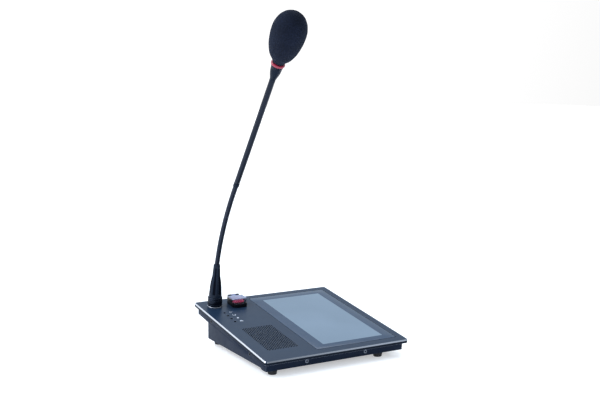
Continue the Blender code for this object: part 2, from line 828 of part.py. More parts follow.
def build_button_lid():
    """Clear lid: a top with a front skirt and two side lips, and a barrel between the ears."""
    half = BUTTON_SIZE[0] / 2
    front = LID_FRONT_V - HINGE_V
    rear = -KNUCKLE - 0.0007
    top = LID_TOP - HINGE_W
    lid = add("button_lid", slab((-half, front, half, rear), top - LID_THICKNESS, top),
              clear_plastic(), "hinge_frame")
    low = BUTTON_RISE + GAP - HINGE_W
    skirt = slab((-half, front, half, front + LID_SKIRT_THICKNESS), low, top - 0.0002)
    union(lid, skirt, "lid_skirt")
    for sign, label in ((-1, "left"), (1, "right")):
        outer, inner = sign * half, sign * (half - LID_THICKNESS)
        box = (min(outer, inner), front + 0.0002, max(outer, inner), rear)
        union(lid, slab(box, top - LID_THICKNESS - LID_LIP, top - 0.0002), f"lid_{label}")
    first, second = knuckle_spans()
    start, end = first[1] + GAP, second[0] - GAP
    arm = slab((start, rear - 0.001, end, 0.0), top - LID_THICKNESS, top - 0.0001)
    union(lid, arm, "lid_arm")
    union(lid, along_hinge(KNUCKLE, start, end, ROUND_STEPS), "lid_barrel")
    cut(lid, along_hinge(HINGE_PIN + GAP, -0.02, 0.02), "lid_bore")
    first, second = knuckle_spans()
    add("hinge_pin", along_hinge(HINGE_PIN, first[0], second[1]), steel(), "hinge_frame", True)


# ---------------------------------------------------------------- microphone plug

def pin_centres():
    return [
        (PIN_CIRCLE * math.cos(angle), PIN_CIRCLE * math.sin(angle))
        for angle in (math.radians(30), math.radians(150), math.radians(270))
    ]


def build_mic_socket():
    ring = [
        (RING_INNER, GAP), (RING_OUTER, GAP), (RING_OUTER, RING_HEIGHT - 0.0005),
        (RING_OUTER - 0.0004, RING_HEIGHT), (RING_INNER, RING_HEIGHT),
    ]
    add("socket_ring", turned(ring, FINE_STEPS, True), plated_metal(), "socket_frame", True)
    low = -PLATE_THICKNESS - GAP
    body = [
        (0.0, -SOCKET_DROP), (0.0085, -SOCKET_DROP), (0.0085, low - 0.002), (SOCKET_FLANGE, low - 0.002),
        (SOCKET_FLANGE, low), (SOCKET_RADIUS, low), (SOCKET_RADIUS, SOCKET_RISE - 0.0006),
        (SOCKET_RADIUS - 0.0006, SOCKET_RISE), (0.0, SOCKET_RISE),
    ]
    socket = add("mic_socket", turned(body, FINE_STEPS), black_plastic(), "socket_frame", True)
    holes = bmesh.new()
    for centre in pin_centres():
        disc(PIN_HOLE, 0.0015, 0.020, SMALL_STEPS, centre, holes)
    cut(socket, holes, "contact_holes")


def boot_profile():
    """Outline of the tapered boot, as (radius, height) from its foot to its lip."""
    low = COLLAR_TOP + GAP
    sides = [
        (0.0084, low), (0.0083, 0.0160), (0.0079, 0.0207), (0.0077, 0.0247), (0.0073, 0.0288),
        (0.0069, 0.0328), (0.0061, 0.0369), (0.0053, 0.0409), (0.0050, 0.0450), (0.0047, 0.0491),
        (0.0045, 0.0531), (0.0043, BOOT_TOP - 0.0004), (0.0040, BOOT_TOP),
    ]
    bore = [(BOOT_BORE, BOOT_TOP), (BOOT_BORE, 0.0340), (0.0, 0.0340)]
    return [(0.0, low)] + sides + bore


def build_plug():
    collar = [
        (COLLAR_INNER, COLLAR_LOW), (COLLAR_RADIUS - 0.0004, COLLAR_LOW),
        (COLLAR_RADIUS, COLLAR_LOW + 0.0004),
        (COLLAR_RADIUS, COLLAR_TOP - 0.0008), (COLLAR_RADIUS - 0.0008, COLLAR_TOP),
        (COLLAR_INNER, COLLAR_TOP),
    ]
    add("plug_collar", turned(collar, FINE_STEPS, True), dark_steel(), "plug_frame", True)
    low, high = SOCKET_RISE + GAP, COLLAR_TOP
    insert = add("plug_insert", disc(COLLAR_INNER - GAP, low, high, FINE_STEPS),
                 black_plastic(), "plug_frame", True)
    holes = bmesh.new()
    for centre in pin_centres():
        disc(PIN_HOLE, 0.0, 0.020, SMALL_STEPS, centre, holes)
    cut(insert, holes, "pin_holes")
    for number, centre in enumerate(pin_centres(), 1):
        pin = disc(PIN_RADIUS, 0.0024, high, SMALL_STEPS, centre)
        add(f"plug_pin_{number}", pin, gold(), "plug_frame", True)
    add("boot", turned(boot_profile(), FINE_STEPS), black_rubber(), "plug_frame", True)


# ---------------------------------------------------------------- neck

def neck_lean(share):
    """Lean from upright at a share, from 0 to 1, of the neck's length."""
    bend = (1.0 - share) ** NECK_LEAN_POWER
    return NECK_END_LEAN - (NECK_END_LEAN - NECK_START_LEAN) * bend


def forward(lean):
    return Vector((0.0, -math.sin(lean), math.cos(lean)))


def neck_point(share):
    """World place on the neck's centre line, from the boot's lip upwards."""
    point = on_plate(MIC_U, MIC_V, BOOT_TOP).translation
    steps = max(1, round(100 * share))
    for k in range(steps):
        middle = share * (k + 0.5) / steps
        point = point + forward(neck_lean(middle)) * (NECK_LENGTH * share / steps)
    return point


def joint_share(number):
    """Share of the neck's length at which joint 1 to NECK_JOINTS lies."""
    return (number - 0.5) / NECK_JOINTS


def ball_end(point, direction):
    """Stations of a round end centred on a joint."""
    angles = [math.radians(angle) for angle in (0, 22.5, 45, 67.5, 90)]
    return [
        (point + direction * (NECK_RADIUS * math.sin(a)), direction,
         NECK_RADIUS * math.cos(a) if a < 1.57 else 0.0)
        for a in angles
    ]


def cup_end(point, direction):
    """Stations of a hollow end around the ball centred on a joint."""
    radii = [NECK_RADIUS * share for share in (0.0, 0.35, 0.65, 0.88, 1.0)]
    return [
        (point + direction * math.sqrt(CUP_RADIUS ** 2 - radius ** 2), direction, radius)
        for radius in radii
    ]


def build_neck():
    """A fixed foot in the boot, then links, each hollow below and round above."""
    lip = on_plate(MIC_U, MIC_V, BOOT_TOP - 0.002).translation
    foot = on_plate(MIC_U, MIC_V, 0.0345).translation
    first = neck_point(joint_share(1))
    stations = [(foot, forward(PLATE_TILT), NECK_RADIUS), (lip, forward(PLATE_TILT), NECK_RADIUS)]
    middle = neck_point(joint_share(1) / 2)
    stations.append((middle, forward(neck_lean(joint_share(1) / 2)), NECK_RADIUS))
    stations += ball_end(first, forward(neck_lean(joint_share(1))))
    add("neck_foot", swept(stations, "plug_frame"), dark_steel(), "plug_frame", True)
    for number in range(1, NECK_JOINTS):
        low = neck_point(joint_share(number))
        high = neck_point(joint_share(number + 1))
        direction = (high - low).normalized()
        frame = f"neck_joint_{number}"
        stations = cup_end(low, direction) + ball_end(high, direction)
        add(f"neck_link_{number}", swept(stations, frame), dark_steel(), frame, True)
    last = neck_point(joint_share(NECK_JOINTS))
    end = neck_point(1.0)
    direction = (end - last).normalized()
    tip = (end - direction * GAP, direction, NECK_RADIUS)
    frame = f"neck_joint_{NECK_JOINTS}"
    add("neck_top", swept(cup_end(last, direction) + [tip], frame), dark_steel(), frame, True)


# ---------------------------------------------------------------- stem and head

def egg_radius(height):
    """Radius of the foam at a height along the stem."""
    half = FOAM_TIP - FOAM_WIDEST if height > FOAM_WIDEST else FOAM_LOWER_HALF
    return FOAM_RADIUS * math.sqrt(max(0.0, 1.0 - ((height - FOAM_WIDEST) / half) ** 2))


def foam_profile():
    """Outer egg from its low opening to its tip, then the bore, closed on top."""
    low_heights = [FOAM_LOW + 0.0022 + 0.0357 * (1 - math.cos(math.radians(a))) for a in range(0, 91, 15)]
    outer = [(egg_radius(min(height, FOAM_WIDEST)), min(height, FOAM_WIDEST)) for height in low_heights]
    top = []
    for angle in (18, 36, 54, 72):
        height = FOAM_WIDEST + (FOAM_TIP - FOAM_WIDEST) * math.sin(math.radians(angle))
        top.append((egg_radius(height), height))
    bore = [(0.0, FOAM_BORE_TOP), (FOAM_BORE, FOAM_BORE_TOP), (FOAM_BORE, FOAM_LOW)]
    return bore + [(FOAM_LOW_RADIUS, FOAM_LOW)] + outer + top + [(0.0, FOAM_TIP)]


def build_head():
    frame = "stem_frame"
    ferrule = [
        (FERRULE_RADIUS - 0.0003, GAP), (FERRULE_RADIUS, 0.0008), (FERRULE_RADIUS, FERRULE_LENGTH),
        (0.0, FERRULE_LENGTH), (0.0, GAP),
    ]
    add("neck_ferrule", turned(ferrule[::-1][1:] + [(0.0, GAP)]), dark_steel(), frame, True)
    low = FERRULE_LENGTH + GAP
    stem = [
        (STEM_BORE, low), (STEM_RADIUS, low), (STEM_RADIUS, STEM_LENGTH - GAP),
        (STEM_BORE, STEM_LENGTH - GAP),
    ]
    add("upper_stem", turned(stem, ROUND_STEPS, True), dark_steel(), frame, True)
    cone = [
        (0.0, STEM_LENGTH), (STEM_RADIUS + 0.0001, STEM_LENGTH), (0.0044, 0.1645),
        (0.0054, 0.1682), (0.0062, 0.1718), (0.0066, 0.1760), (CONE_TOP_RADIUS, CONE_TOP), (0.0, CONE_TOP),
    ]
    add("head_cone", turned(cone, FINE_STEPS), dark_steel(), frame, True)
    low, high = CONE_TOP + GAP, LIGHT_RING_TOP
    light = [
        (0.0, low), (LIGHT_RING_RADIUS - 0.0005, low), (LIGHT_RING_RADIUS, low + 0.0008),
        (LIGHT_RING_RADIUS, high - 0.0008), (LIGHT_RING_RADIUS - 0.0005, high), (0.0, high),
    ]
    add("light_ring", turned(light, FINE_STEPS), red_plastic(), frame, True)
    low = LIGHT_RING_TOP + GAP
    holder = [
        (0.0, low), (HOLDER_RADIUS, low), (HOLDER_RADIUS, HOLDER_TOP), (CAPSULE_RADIUS + GAP, HOLDER_TOP),
        (CAPSULE_RADIUS + GAP, HOLDER_TOP - HOLDER_SEAT), (HOLDER_BORE, HOLDER_TOP - HOLDER_SEAT),
        (HOLDER_BORE, low + 0.003), (0.0, low + 0.003),
    ]
    add("capsule_holder", turned(holder, FINE_STEPS), dark_steel(), frame, True)
    low = HOLDER_TOP - HOLDER_SEAT + GAP
    capsule = [
        (0.0, low), (CAPSULE_RADIUS, low), (CAPSULE_RADIUS, CAPSULE_TOP - 0.0006),
        (CAPSULE_RADIUS - 0.0006, CAPSULE_TOP), (0.0, CAPSULE_TOP),
    ]
    add("capsule", turned(capsule, ROUND_STEPS), plated_metal(), frame, True)
    add("windscreen", turned(foam_profile(), FINE_STEPS), foam(), frame, True)


# ---------------------------------------------------------------- assembly

def clear_scene():
    for found in list(bpy.data.objects):
        bpy.data.objects.remove(found, do_unlink=True)


def build_frames():
    """Frames of the faceplate, the hinge, the button, the plug and each joint."""
    make_frame("plate_frame", plate_matrix())
    make_frame("hinge_frame", on_plate(BUTTON_U, HINGE_V, HINGE_W), "plate_frame")
    make_frame("button_frame", on_plate(BUTTON_U, CAP_V), "plate_frame")
    make_frame("socket_frame", on_plate(MIC_U, MIC_V), "plate_frame")
    make_frame("plug_frame", on_plate(MIC_U, MIC_V), "plate_frame")
    parent = "plug_frame"
    for number in range(1, NECK_JOINTS + 1):
        share = joint_share(number)
        name = f"neck_joint_{number}"
        make_frame(name, leaning_matrix(neck_point(share), neck_lean(share)), parent)
        parent = name
    make_frame("stem_frame", leaning_matrix(neck_point(1.0), NECK_END_LEAN), parent)


def main():
    clear_scene()
    build_frames()
    build_faceplate()
    build_display()
    build_speaker()
    build_status_lights()
    build_housing()
    build_wall_screws()
    build_bottom_cover()
    build_feet()
    build_board_and_sockets()
    build_button_bezel()
    build_button()
    build_button_lid()
    build_mic_socket()
    build_plug()
    build_neck()
    build_head()


main()
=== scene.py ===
"""Looks of the paging console with its plug-in gooseneck microphone."""
import math

import bmesh
import bpy
import numpy as np
from mathutils import Matrix, Vector, noise


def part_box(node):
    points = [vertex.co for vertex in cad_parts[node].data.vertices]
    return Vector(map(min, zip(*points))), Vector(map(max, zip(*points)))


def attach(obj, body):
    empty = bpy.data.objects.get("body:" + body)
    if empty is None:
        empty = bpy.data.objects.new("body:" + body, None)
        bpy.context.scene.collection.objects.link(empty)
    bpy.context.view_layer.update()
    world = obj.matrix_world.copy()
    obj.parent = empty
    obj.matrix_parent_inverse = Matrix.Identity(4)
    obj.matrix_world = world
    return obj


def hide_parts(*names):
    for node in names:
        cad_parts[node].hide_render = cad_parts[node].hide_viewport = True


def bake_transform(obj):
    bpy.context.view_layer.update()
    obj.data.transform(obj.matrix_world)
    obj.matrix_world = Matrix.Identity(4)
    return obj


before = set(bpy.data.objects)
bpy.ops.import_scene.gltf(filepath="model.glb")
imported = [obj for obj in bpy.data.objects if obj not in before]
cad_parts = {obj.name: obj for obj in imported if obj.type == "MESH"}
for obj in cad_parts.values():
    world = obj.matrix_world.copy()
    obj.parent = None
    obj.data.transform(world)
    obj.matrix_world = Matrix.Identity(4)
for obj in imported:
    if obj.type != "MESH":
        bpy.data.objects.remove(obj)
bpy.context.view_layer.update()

# Faceplate frame
PLATE_WIDTH = 0.200
PLATE_DEPTH = 0.202
PLATE_TILT = math.radians(8.0)
PLATE_FRONT_Y = -0.0822
PLATE_FRONT_Z = 0.0192
PLATE_THICKNESS = 0.003
PLATE_RIM_DEPTH = 0.0046
PLATE_CORNER = 0.004
PLATE_RIM_INSET = 0.0025
CHAMFER_WIDTH = 0.0010
CHAMFER_DROP = 0.0015
LOW_EDGE = 0.0003

# Display
GLASS_BOX = (0.0753, 0.0125, 0.1893, 0.1915)
GLASS_THICKNESS = 0.0011
GLASS_CORNER = 0.0025
PICTURE_BOX = (0.0904, 0.0236, 0.1760, 0.1796)
WINDOW_BOX = (0.0873, 0.0205, 0.1791, 0.1827)
POCKET_EDGE = 0.00004

# Loudspeaker perforations
GRILLE_CENTRE = (0.03915, 0.0643)
GRILLE_PITCH = 0.0036              # along a row; the rows are half of it apart, and staggered
GRILLE_COLUMNS = 11
GRILLE_ROWS = 39
HOLE_RADIUS = 0.00104
HOLE_SINK = 0.00005
MIC_HOLE_RADIUS = 0.0082

# Status lights
LIGHT_U = 0.0220
LIGHT_FIRST_V = 0.1235
LIGHT_PITCH = 0.0104
LIGHT_COUNT = 4
LIGHT_HOLE_RADIUS = 0.0018
LENS_RADIUS = 0.0013
LENS_SHOULDER = 0.0021
LENS_FOOT = -0.0062
LENS_RIM = -0.00195
LENS_DOME = 0.00035
ICON_U = 0.0308

# Call button
BUTTON_U = 0.0507
BUTTON_V = 0.1771
BUTTON_SIZE = (0.0204, 0.0238)
BUTTON_RISE = 0.0052
BUTTON_BODY = (0.0166, 0.0172)
BUTTON_DROP = 0.0090
BUTTON_CORNER = 0.0042
CAP_SIDE = 0.0132
CAP_CORNER = 0.0009
CAP_V = 0.1778
CAP_TOP = 0.0078
HINGE_V = 0.1869
HINGE_W = 0.0092
HINGE_PIN = 0.00075
KNUCKLE = 0.0020
EARS = ((-0.0090, -0.0052), (0.0018, 0.0062))   # along the hinge from the button's middle
LID_TOP = 0.0105
LID_THICKNESS = 0.0010
LID_FRONT_V = 0.1698
LID_SKIRT_THICKNESS = 0.0008
LID_LIP = 0.0005
GUARD_BOX = (0.0082, 0.1715, 0.0101, 0.1860)   # right wall; u from the button's middle
GUARD_TOP = 0.0086
GUARD_ROOT = 0.0013

# Microphone
MIC_U = 0.0206
MIC_V = 0.1815
BOOT_TOP = 0.0565
NECK_RADIUS = 0.0032
NECK_LENGTH = 0.1205
NECK_START_LEAN = math.radians(16.5)
NECK_END_LEAN = math.radians(36.0)
NECK_LEAN_POWER = 1.3
NECK_JOINTS = 5
COIL_PITCH = 0.0013
COIL_DEPTH = 0.00016

STEM_RADIUS = 0.0035
STEM_BORE = 0.0022
STEM_LOW = 0.0063
STEM_HIGH = 0.1607
FERRULE_RADIUS = 0.0037
LIGHT_RING_LOW = 0.1801
LIGHT_RING_HIGH = 0.1835
LIGHT_RING_RADIUS = 0.0082

# Plug and its socket's ring
RING_INNER = 0.0085
RING_OUTER = 0.0098
RING_TOP = 0.0012
COLLAR_BORE = 0.0083
COLLAR_RADIUS = 0.0095
COLLAR_LOW = 0.0015
COLLAR_TOP = 0.0131
COLLAR_GROOVES = (0.0034, 0.0098)
GROOVE_DEPTH = 0.0003

# Screws
SCREW_HEAD = 0.0021
SCREW_SHANK = 0.0010
SCREW_LENGTH = 0.0060
RECESS_RADIUS = 0.0011
RECESS_DEPTH = 0.0013

GAP = 0.0003
EDGE_SOFT = 700.0                 # radians of turn per metre at which an edge starts to wear
EDGE_SPAN = 1500.0


# ---------------------------------------------------------------- places

PLATE = Matrix.Translation((-PLATE_WIDTH / 2, PLATE_FRONT_Y, PLATE_FRONT_Z)) @ Matrix.Rotation(
    PLATE_TILT, 4, "X")


def on_plate(u, v, w=0.0):
    return PLATE @ Matrix.Translation((u, v, w))


def neck_lean(share):
    bend = (1.0 - share) ** NECK_LEAN_POWER
    return NECK_END_LEAN - (NECK_END_LEAN - NECK_START_LEAN) * bend


def forward(lean):
    return Vector((0.0, -math.sin(lean), math.cos(lean)))


def neck_point(share):
    """Place on the neck's centre line, from 0 at the boot's lip to 1 at the stem."""
    point = on_plate(MIC_U, MIC_V, BOOT_TOP).translation
    steps = max(1, round(100 * share))
    for k in range(steps):
        middle = share * (k + 0.5) / steps
        point = point + forward(neck_lean(middle)) * (NECK_LENGTH * share / steps)
    return point


MIC = on_plate(MIC_U, MIC_V)
STEM = Matrix.Translation(neck_point(1.0)) @ Matrix.Rotation(NECK_END_LEAN, 4, "X")


# ---------------------------------------------------------------- colours and node tools

def rgb(red, green, blue):
    """Linear colour from 0-255 display values."""
    def linear(value):
        value /= 255.0
        return value / 12.92 if value <= 0.04045 else ((value + 0.055) / 1.055) ** 2.4
    return (linear(red), linear(green), linear(blue), 1.0)


def scaled(colour, factor):
    return (*(min(1.0, channel * factor) for channel in colour[:3]), 1.0)


class Nodes:
    """A node tree built one node at a time."""

    def __init__(self, tree):
        self.nodes = tree.nodes
        self.links = tree.links

    def plug(self, value, socket):
        if isinstance(value, bpy.types.NodeSocket):
            self.links.new(value, socket)
        else:
            socket.default_value = value

    def node(self, kind, inputs, **settings):
        """A new node, with each input given by its name or number."""
        made = self.nodes.new(kind)
        for key, value in settings.items():
            setattr(made, key, value)
        for key, value in inputs.items():
            self.plug(value, made.inputs[key])
        return made

    def span(self, value, low, high, to_low=0.0, to_high=1.0):
        return self.node("ShaderNodeMapRange", {
            "Value": value, "From Min": low, "From Max": high, "To Min": to_low, "To Max": to_high,
        }).outputs["Result"]

    def mix(self, factor, first, second):
        """Blends two colours."""
        made = self.node("ShaderNodeMix", {"Factor": factor, 6: first, 7: second}, data_type="RGBA")
        return made.outputs[2]

    def axis(self, vector, name):
        return self.node("ShaderNodeSeparateXYZ", {"Vector": vector}).outputs[name]


class Shader(Nodes):
    """A material around one Principled shader."""

    def __init__(self, name, **sockets):
        self.material = bpy.data.materials.new(name)
        self.material.use_nodes = True
        super().__init__(self.material.node_tree)
        self.shader = self.nodes["Principled BSDF"]
        self.height = None
        for socket, value in sockets.items():
            self.shader.inputs[socket.replace("_", " ")].default_value = value

    def place(self, scale=(1.0, 1.0, 1.0)):
        """Object coordinates, scaled."""
        where = self.node("ShaderNodeTexCoord", {}).outputs["Object"]
        return self.node("ShaderNodeMapping", {"Vector": where, "Scale": scale}).outputs["Vector"]

    def noise(self, scale, detail=3.0, rough=0.55, at=None, distort=0.0):
        return self.node("ShaderNodeTexNoise", {
            "Vector": at or self.place(), "Scale": scale, "Detail": detail, "Roughness": rough,
            "Distortion": distort,
        }).outputs["Fac"]

    def cloud(self, scale, detail=4.0, rough=0.55, to=(0.0, 1.0), within=(0.3, 0.7), distort=0.0):
        """Noise with its middle part stretched over a range."""
        return self.span(self.noise(scale, detail, rough, distort=distort), *within, *to)

    def cells(self, scale):
        return self.node("ShaderNodeTexVoronoi", {"Vector": self.place(), "Scale": scale}).outputs["Distance"]

    def bands(self, scale, direction):
        return self.node("ShaderNodeTexWave", {"Vector": self.place(), "Scale": scale},
                         wave_type="BANDS", bands_direction=direction).outputs["Fac"]

    def math(self, operation, first, second):
        return self.node("ShaderNodeMath", {0: first, 1: second}, operation=operation).outputs[0]

    def blotched(self, base, scale, low, high):
        """A colour that drifts between a darker and a lighter tone of itself."""
        return self.mix(self.cloud(scale), scaled(base, low), scaled(base, high))

    def attribute(self, name):
        return self.node("ShaderNodeAttribute", {}, attribute_name=name).outputs["Fac"]

    def colour(self, value):
        self.plug(value, self.shader.inputs["Base Color"])

    def worn_colour(self, colour, bare, start=0.275, full=0.589):
        """The colour, giving way to a barer one where the "edge" attribute is high."""
        amount = self.math("MULTIPLY", self.attribute("edge"), self.noise(900.0, 4.0, 0.6))
        self.colour(self.mix(self.span(amount, start, full), colour, bare))

    def roughness(self, value):
        self.plug(value, self.shader.inputs["Roughness"])

    def bump(self, height, distance, strength=1.0):
        """Adds one layer of relief over the layers already there."""
        inputs = {"Strength": strength, "Distance": distance, "Height": height}
        if self.height is not None:
            inputs["Normal"] = self.height
        self.height = self.node("ShaderNodeBump", inputs).outputs["Normal"]
        self.plug(self.height, self.shader.inputs["Normal"])


# ---------------------------------------------------------------- materials

def anodised(name, base=rgb(31, 49, 71), gloss=0.07):
    """Dark blue-grey anodised aluminium, finely blasted."""
    shader = Shader(name, Specular_IOR_Level=gloss)
    grain = shader.math("MULTIPLY", shader.cloud(5200.0, 2.0), 0.18)
    body = shader.mix(grain, shader.blotched(base, 28.0, 0.93, 1.06), scaled(base, 1.45))
    shader.worn_colour(body, rgb(150, 158, 172))
    shader.roughness(shader.cloud(60.0, 5.0, 0.6, (0.28, 0.35), distort=0.6))
    shader.bump(shader.noise(4200.0, 2.0), 0.00004, 0.35)
    return shader


def cut_edge(name, dull=rgb(200, 200, 206), bright=rgb(236, 234, 236), left_share=1.0):
    """The bright chamfer cut through the anodising; where a left share is asked for, a painted highlight
    brightens it from a duller left end towards the right.
    """
    shader = Shader(name, Metallic=1.0)
    lines = shader.noise(260.0, 3.0, 0.7, shader.place((9.0, 1.0, 30.0)))
    tone = shader.span(lines, 0.25, 0.75)
    body = shader.mix(tone, dull, bright)
    # painted highlight: the colour brightens from the dimmed left end towards the right
    if left_share < 1.0:
        left = shader.mix(tone, scaled(dull, left_share), scaled(bright, left_share))
        along = shader.span(shader.axis(shader.place(), "X"), 0.0, PLATE_WIDTH * 0.8)
        body = shader.mix(along, left, body)
    shader.colour(body)
    shader.roughness(shader.span(lines, 0.2, 0.8, 0.16, 0.30))
    shader.bump(lines, 0.00002, 0.4)
    return shader


def powder_coat(name):
    """Fine satin powder coat with worn edges."""
    shader = Shader(name, Specular_IOR_Level=0.07)
    base = rgb(17, 30, 50)
    shader.worn_colour(shader.blotched(base, 24.0, 0.9, 1.1), rgb(96, 102, 116), 0.35, 0.62)
    shader.roughness(shader.cloud(75.0, 5.0, 0.6, (0.42, 0.52)))
    shader.bump(shader.noise(1900.0, 2.0, 0.5), 0.00007, 0.45)
    shader.bump(shader.cells(2600.0), 0.00003, 0.25)
    return shader


def moulded(name, base, rough=0.4, rubbed=2.4, texture=3000.0, depth=0.00003, gloss=0.5):
    """Moulded plastic with a fine grain and rubbed edges."""
    shader = Shader(name, Specular_IOR_Level=gloss)
    shader.worn_colour(shader.blotched(base, 90.0, 0.86, 1.14), scaled(base, rubbed))
    shader.roughness(shader.cloud(210.0, 5.0, 0.6, (rough - 0.05, rough + 0.06)))
    shader.bump(shader.cells(texture), depth, 0.4)
    return shader


def satin_metal(name, base, rough=0.34, stretch=(1.0, 1.0, 1.0), metallic=0.85, gloss=0.5):
    """Turned and blackened metal: fine tool marks and rubbed edges."""
    shader = Shader(name, Metallic=metallic, Specular_IOR_Level=gloss)
    marks = shader.noise(900.0, 4.0, 0.65, shader.place(stretch))
    body = shader.mix(shader.span(marks, 0.35, 0.75, 0.0, 0.25),
                      shader.blotched(base, 70.0, 0.85, 1.15), scaled(base, 1.6))
    shader.worn_colour(body, scaled(base, 3.0))
    shader.roughness(shader.span(marks, 0.25, 0.75, rough - 0.06, rough + 0.08))
    shader.bump(marks, 0.00002, 0.35)
    return shader


def bright_plate(name, base=rgb(226, 230, 238)):
    """Bright plating with faint spots and polishing lines."""
    shader = Shader(name, Metallic=1.0)
    shader.colour(shader.mix(shader.cloud(600.0, 5.0, 0.65, within=(0.45, 0.8)), base, scaled(base, 0.72)))
    shader.roughness(shader.cloud(240.0, to=(0.08, 0.2)))
    shader.bump(shader.noise(2400.0, 3.0), 0.00001, 0.3)
    return shader


def rubber(name):
    """Matt moulded rubber with a faint bloom."""
    shader = Shader(name, Specular_IOR_Level=0.4)
    base = rgb(17, 20, 27)
    bloom = shader.cloud(150.0, 5.0, 0.65, within=(0.4, 0.75))
    body = shader.mix(shader.math("MULTIPLY", bloom, 0.5), base, scaled(base, 1.8))
    shader.worn_colour(body, scaled(base, 3.2))
    shader.roughness(shader.cloud(320.0, to=(0.55, 0.69)))
    shader.bump(shader.noise(2600.0, 3.0), 0.00005, 0.5)
    return shader


def open_cell_foam(name):
    """Reticulated black foam: pores darkened with painted shade, between fine lighter struts."""
    shader = Shader(name, Specular_IOR_Level=0.15, Sheen_Weight=0.05, Sheen_Roughness=0.6,
                    Sheen_Tint=rgb(120, 140, 180))
    pores = shader.cells(1500.0)
    fine = shader.noise(3800.0, 3.0, 0.6)
    body = shader.mix(shader.cloud(55.0), rgb(17, 25, 42), rgb(23, 32, 53))
    # painted shade: the colour darkens towards each pore's middle
    body = shader.mix(shader.span(pores, 0.15, 0.75), rgb(10, 13, 21), body)
    shader.colour(shader.mix(shader.span(fine, 0.55, 0.8, 0.0, 0.5), body, rgb(36, 46, 68)))
    shader.roughness(shader.span(fine, 0.3, 0.7, 0.85, 1.0))
    shader.bump(pores, 0.00045, 0.9)
    shader.bump(fine, 0.00016, 0.7)
    return shader


def printed_glass(name):
    """Cover glass: dark ink behind its border and the pale panel behind its window."""
    shader = Shader(name, Specular_IOR_Level=0.10, Coat_Weight=0.15, Coat_Roughness=0.03)
    border = shader.mix(shader.cloud(40.0, 3.0), rgb(36, 59, 86), rgb(40, 64, 91))
    cell = shader.span(shader.bands(1050.0, "X"), 0.0, 1.0, 0.0, 0.10)
    panel = shader.mix(shader.cloud(9.0, 2.0), rgb(108, 128, 147), rgb(118, 138, 158))
    panel = shader.mix(cell, panel, rgb(84, 100, 119))
    shader.colour(shader.mix(shader.span(shader.attribute("picture"), 0.45, 0.55), border, panel))
    smudge = shader.cloud(45.0, 6.0, 0.65, (0.16, 0.26), (0.45, 0.75), 1.2)
    shader.roughness(smudge)
    shader.bump(shader.noise(900.0, 2.0), 0.000004, 0.15)
    return shader


def clear_moulding(name, through=0.45, clean=rgb(150, 162, 204), dull=rgb(138, 150, 194)):
    """Clear acrylic with faint scuffs. Its pale blue base colour is a slight tint of the acrylic and, where
    little light goes through, a painted reflection of the pale sky.
    """
    shader = Shader(name, Transmission_Weight=through, IOR=1.49)
    scuff = shader.cloud(420.0, 6.0, 0.7, within=(0.5, 0.8))
    shader.colour(shader.mix(scuff, clean, dull))
    shader.roughness(shader.span(scuff, 0.0, 1.0, 0.10, 0.24))
    shader.bump(shader.noise(700.0, 3.0), 0.00001, 0.2)
    return shader


def red_moulding(name, base, through, rough, painted_glow=0.0):
    """Translucent red plastic, with a painted glow where one is asked for: emission that brightens it though
    nothing lights it from inside.
    """
    shader = Shader(name, Transmission_Weight=through, IOR=1.49, Coat_Weight=0.2, Coat_Roughness=0.08,
                    Emission_Color=base, Emission_Strength=painted_glow)
    shader.worn_colour(shader.blotched(base, 130.0, 0.85, 1.15), scaled(base, 1.9))
    shader.roughness(shader.cloud(350.0, 5.0, to=(rough - 0.06, rough + 0.08)))
    shader.bump(shader.noise(1300.0, 3.0), 0.00002, 0.3)
    return shader


def smoked_lens(name):
    """Unlit light pipe: deep smoke with a soft internal grain."""
    shader = Shader(name, Transmission_Weight=0.05, IOR=1.49, Specular_IOR_Level=0.03)
    shader.colour(shader.mix(shader.cloud(900.0), rgb(1, 3, 7), rgb(4, 7, 14)))
    shader.roughness(shader.cloud(500.0, to=(0.18, 0.3)))
    shader.bump(shader.noise(1500.0, 3.0), 0.00001, 0.3)
    return shader


def white_print(name):
    """Screen-printed ink."""
    shader = Shader(name)
    grain = shader.cloud(2600.0, 4.0, 0.6, within=(0.3, 0.75))
    shader.colour(shader.mix(grain, rgb(196, 208, 228), rgb(224, 232, 246)))
    shader.roughness(shader.span(grain, 0.0, 1.0, 0.5, 0.65))
    shader.bump(grain, 0.00001, 0.3)
    return shader


def board_green(name):
    """Circuit board: solder mask over tracks, with drilled pads."""
    shader = Shader(name, Coat_Weight=0.3, Coat_Roughness=0.2)
    tracks = shader.node("ShaderNodeTexBrick", {
        "Vector": shader.place(), "Scale": 90.0, "Mortar Size": 0.03,
    }).outputs["Fac"]
    mask = shader.mix(tracks, rgb(18, 82, 48), rgb(34, 118, 70))
    shader.colour(shader.mix(shader.span(shader.cells(260.0), 0.12, 0.2), rgb(196, 176, 110), mask))
    shader.roughness(shader.cloud(300.0, 3.0, to=(0.3, 0.5)))
    shader.bump(tracks, 0.00005, 0.4)
    return shader


def woven_cloth(name):
    """Black speaker cloth, a fine plain weave."""
    shader = Shader(name, Specular_IOR_Level=0.2)
    weave = shader.math("MULTIPLY", shader.bands(620.0, "X"), shader.bands(620.0, "Y"))
    fuzz = shader.noise(2000.0, 4.0)
    shader.colour(shader.mix(weave, rgb(4, 6, 12), shader.mix(fuzz, rgb(10, 15, 28), rgb(16, 23, 40))))
    shader.roughness(shader.span(fuzz, 0.3, 0.7, 0.8, 0.95))
    shader.bump(weave, 0.00012, 0.7)
    return shader


def pressed_paper(name):
    """Speaker cone: felted black pulp."""
    shader = Shader(name, Specular_IOR_Level=0.2)
    fibre = shader.noise(700.0, 6.0, 0.7, shader.place((1.0, 1.0, 4.0)), 1.5)
    shader.colour(shader.mix(shader.span(fibre, 0.3, 0.7), rgb(18, 18, 21), rgb(44, 44, 48)))
    shader.roughness(shader.span(fibre, 0.3, 0.7, 0.75, 0.95))
    shader.bump(fibre, 0.0001, 0.6)
    return shader


